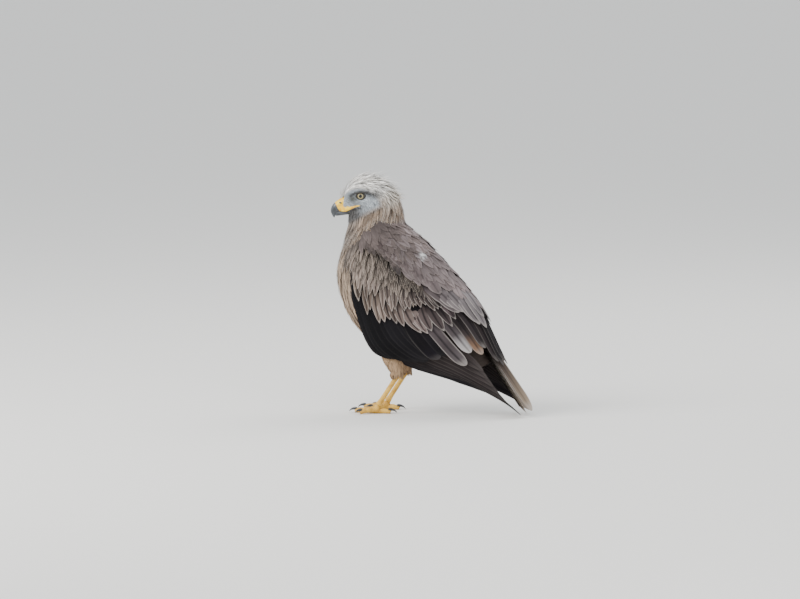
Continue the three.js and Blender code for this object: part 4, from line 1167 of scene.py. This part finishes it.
# Legs: toes head in degrees off straight ahead, towards the other foot.
heel, ankle = np.array([28, 3, 60.0]), np.array([29, -29, 14.0])
toes = {
    "middle": {"heading": 2, "length": 40, "radius": 4.4, "claw": 15},
    "inner": {"heading": 34, "length": 29, "radius": 4.5, "claw": 16},
    "outer": {"heading": -34, "length": 32, "radius": 4.1, "claw": 13},
    "hind": {"heading": 176, "length": 20, "radius": 4.3, "claw": 16},
}
shank = {"radius": 3.75, "heelKnob": 1.4, "ankleKnob": 1.2, "scutes": 13, "scuteHeight": 0.28}
toeSkin = {"pad": 0.5, "inset": 0.2, "scutes": 4.5, "scuteHeight": 0.16, "tip": 0.76, "arch": 2.2, "sunk": 0.4}
footPad = [[29, -30, 13, 5.2, 5.2], [29, -31, 9, 6.2, 6.2], [29, -31, 5, 6.0, 6.0], [29, -31, 2.2, 5.0, 5.0]]
clawBend, clawLean = math.radians(78), math.radians(-20)


def tarsusForm():
    share = np.linspace(0, 1, 73)
    at = mix(heel + [0, 2, 6], ankle, share[:, None])
    knob = shank["heelKnob"] * (1 - smooth(0, 0.2, share)) + shank["ankleKnob"] * smooth(0.82, 1, share)
    scute = shank["scuteHeight"] * np.abs(np.sin(share * np.pi * shank["scutes"])) ** 0.5
    radius = shank["radius"] + knob + scute
    return limbForm(np.column_stack([at, radius, radius]), (1, 0, 0), sides=24)


# The line along the floor that a toe follows from the ankle
def toeLine(toe, reach):
    heading = math.radians(toe["heading"])
    return ankle * [1, 1, 0] + np.array([-math.sin(heading), -math.cos(heading), 0]) * reach[:, None]


def toeForm(name, toe):
    bones, archShare = (1, 0.3) if name == "hind" else (3, 1)
    share = np.linspace(0, 1, 61)
    pad = toeSkin["pad"] * np.sin(share * np.pi * bones) ** 2 - toeSkin["inset"]
    scute = toeSkin["scuteHeight"] * np.abs(np.sin(share * np.pi * bones * toeSkin["scutes"]))
    radius = (toe["radius"] * mix(1.0, toeSkin["tip"], share) + pad + scute) * np.where(share > 0.97, 0.8, 1)
    at = toeLine(toe, toe["length"] * share)
    at[:, 2] = radius - toeSkin["sunk"] + toeSkin["arch"] * np.sin(np.pi * share) * archShare
    return limbForm(np.column_stack([at, radius, radius]), upright, sides=20, low=0.05)


def clawForm(toe):
    share = np.linspace(0, 1, 25)
    radius, a = toe["claw"] / clawBend, clawLean + clawBend * share
    at = toeLine(toe, toe["length"] - 2.5 + radius * (np.sin(a) - math.sin(clawLean)))
    thick = mix(2.6, 0.15, share**1.3)
    at[:, 2] = np.maximum(6.2 + radius * (np.cos(a) - math.cos(clawLean)), thick + 0.1)
    return limbForm(np.column_stack([at, thick, thick * 1.1]), upright, sides=14)


for label, side in bothSides.items():
    makePiece(f"shank_{label}", sided(tarsusForm(), side), horn["legSkin"], (f"tarsus_{label}",))
    base = limbForm(footPad, (1, 0, 0), sides=20, count=14)
    foot = joined([base] + [toeForm(name, toe) for name, toe in toes.items()])
    makePiece(f"toes_{label}", sided(foot, side), horn["legSkin"], (f"foot_{label}",))
    for name, toe in toes.items():
        claw = sided(clawForm(toe), side)
        makePiece(f"talon_{name}_{label}", claw, horn["clawHornAndNostrilShade"], (f"claw_{name}_{label}",))
print("bill, eyes and legs made")

# Floor, light and camera
studio = {
    "floor": "#dedbd5", "sky": 1.4, "skyColour": (0.86, 0.9, 0.95, 1), "aim": (0, 0, 0.2), "floorRadius": 20,
    "lights": {
        "key": {"place": (1.4, -1.8, 2.0), "size": 1.6, "power": 92},
        "fill": {"place": (2.2, 1.6, 1.2), "size": 2.0, "power": 26},
        "rim": {"place": (-1.6, 0.8, 2.2), "size": 1.6, "power": 30},
    },
}
view = {"azimuth": 105, "elevation": 6, "distance": 9.0, "width": 1.32, "aim": (0, -0.05346, 0.1866)}
a = np.arange(64) / 64 * 2 * np.pi
ring = np.stack([np.cos(a) * studio["floorRadius"], np.sin(a) * studio["floorRadius"], np.full(64, -0.0002)], -1)
floorMesh = bpy.data.meshes.new("floor")
floorMesh.from_pydata(ring, [], [tuple(range(len(ring)))])
floor = bpy.data.objects.new("floor", floorMesh)
bpy.context.scene.collection.objects.link(floor)
floorMesh.materials.append(Sheet("paleFloor").feed(Base_Color=rgba(studio["floor"]), Roughness=0.9))

world = bpy.data.worlds.new("studio")
bpy.context.scene.world = world
world.use_nodes = True
world.node_tree.nodes["Background"].inputs[0].default_value = studio["skyColour"]
world.node_tree.nodes["Background"].inputs[1].default_value = studio["sky"]


# A light or camera placed so that it looks at aim
def aimed(name, data, place, aim):
    made = bpy.data.objects.new(name, data)
    made.location = place
    made.rotation_mode = "QUATERNION"
    made.rotation_quaternion = (Vector(aim) - Vector(place)).to_track_quat("-Z", "Y")
    bpy.context.scene.collection.objects.link(made)
    return made


for name, spec in studio["lights"].items():
    light = bpy.data.lights.new(name, "AREA")
    light.size, light.energy = spec["size"], spec["power"]
    aimed(name, light, spec["place"], studio["aim"])

a, e = math.radians(view["azimuth"]), math.radians(view["elevation"])
back = Vector((math.sin(a) * math.cos(e), -math.cos(a) * math.cos(e), math.sin(e)))
camera = bpy.data.cameras.new("camera")
camera.sensor_width = 36
camera.lens = camera.sensor_width * view["distance"] / view["width"]
camera.clip_end = 100
bpy.context.scene.camera = aimed("camera", camera, Vector(view["aim"]) + back * view["distance"], view["aim"])

print("kite finished")
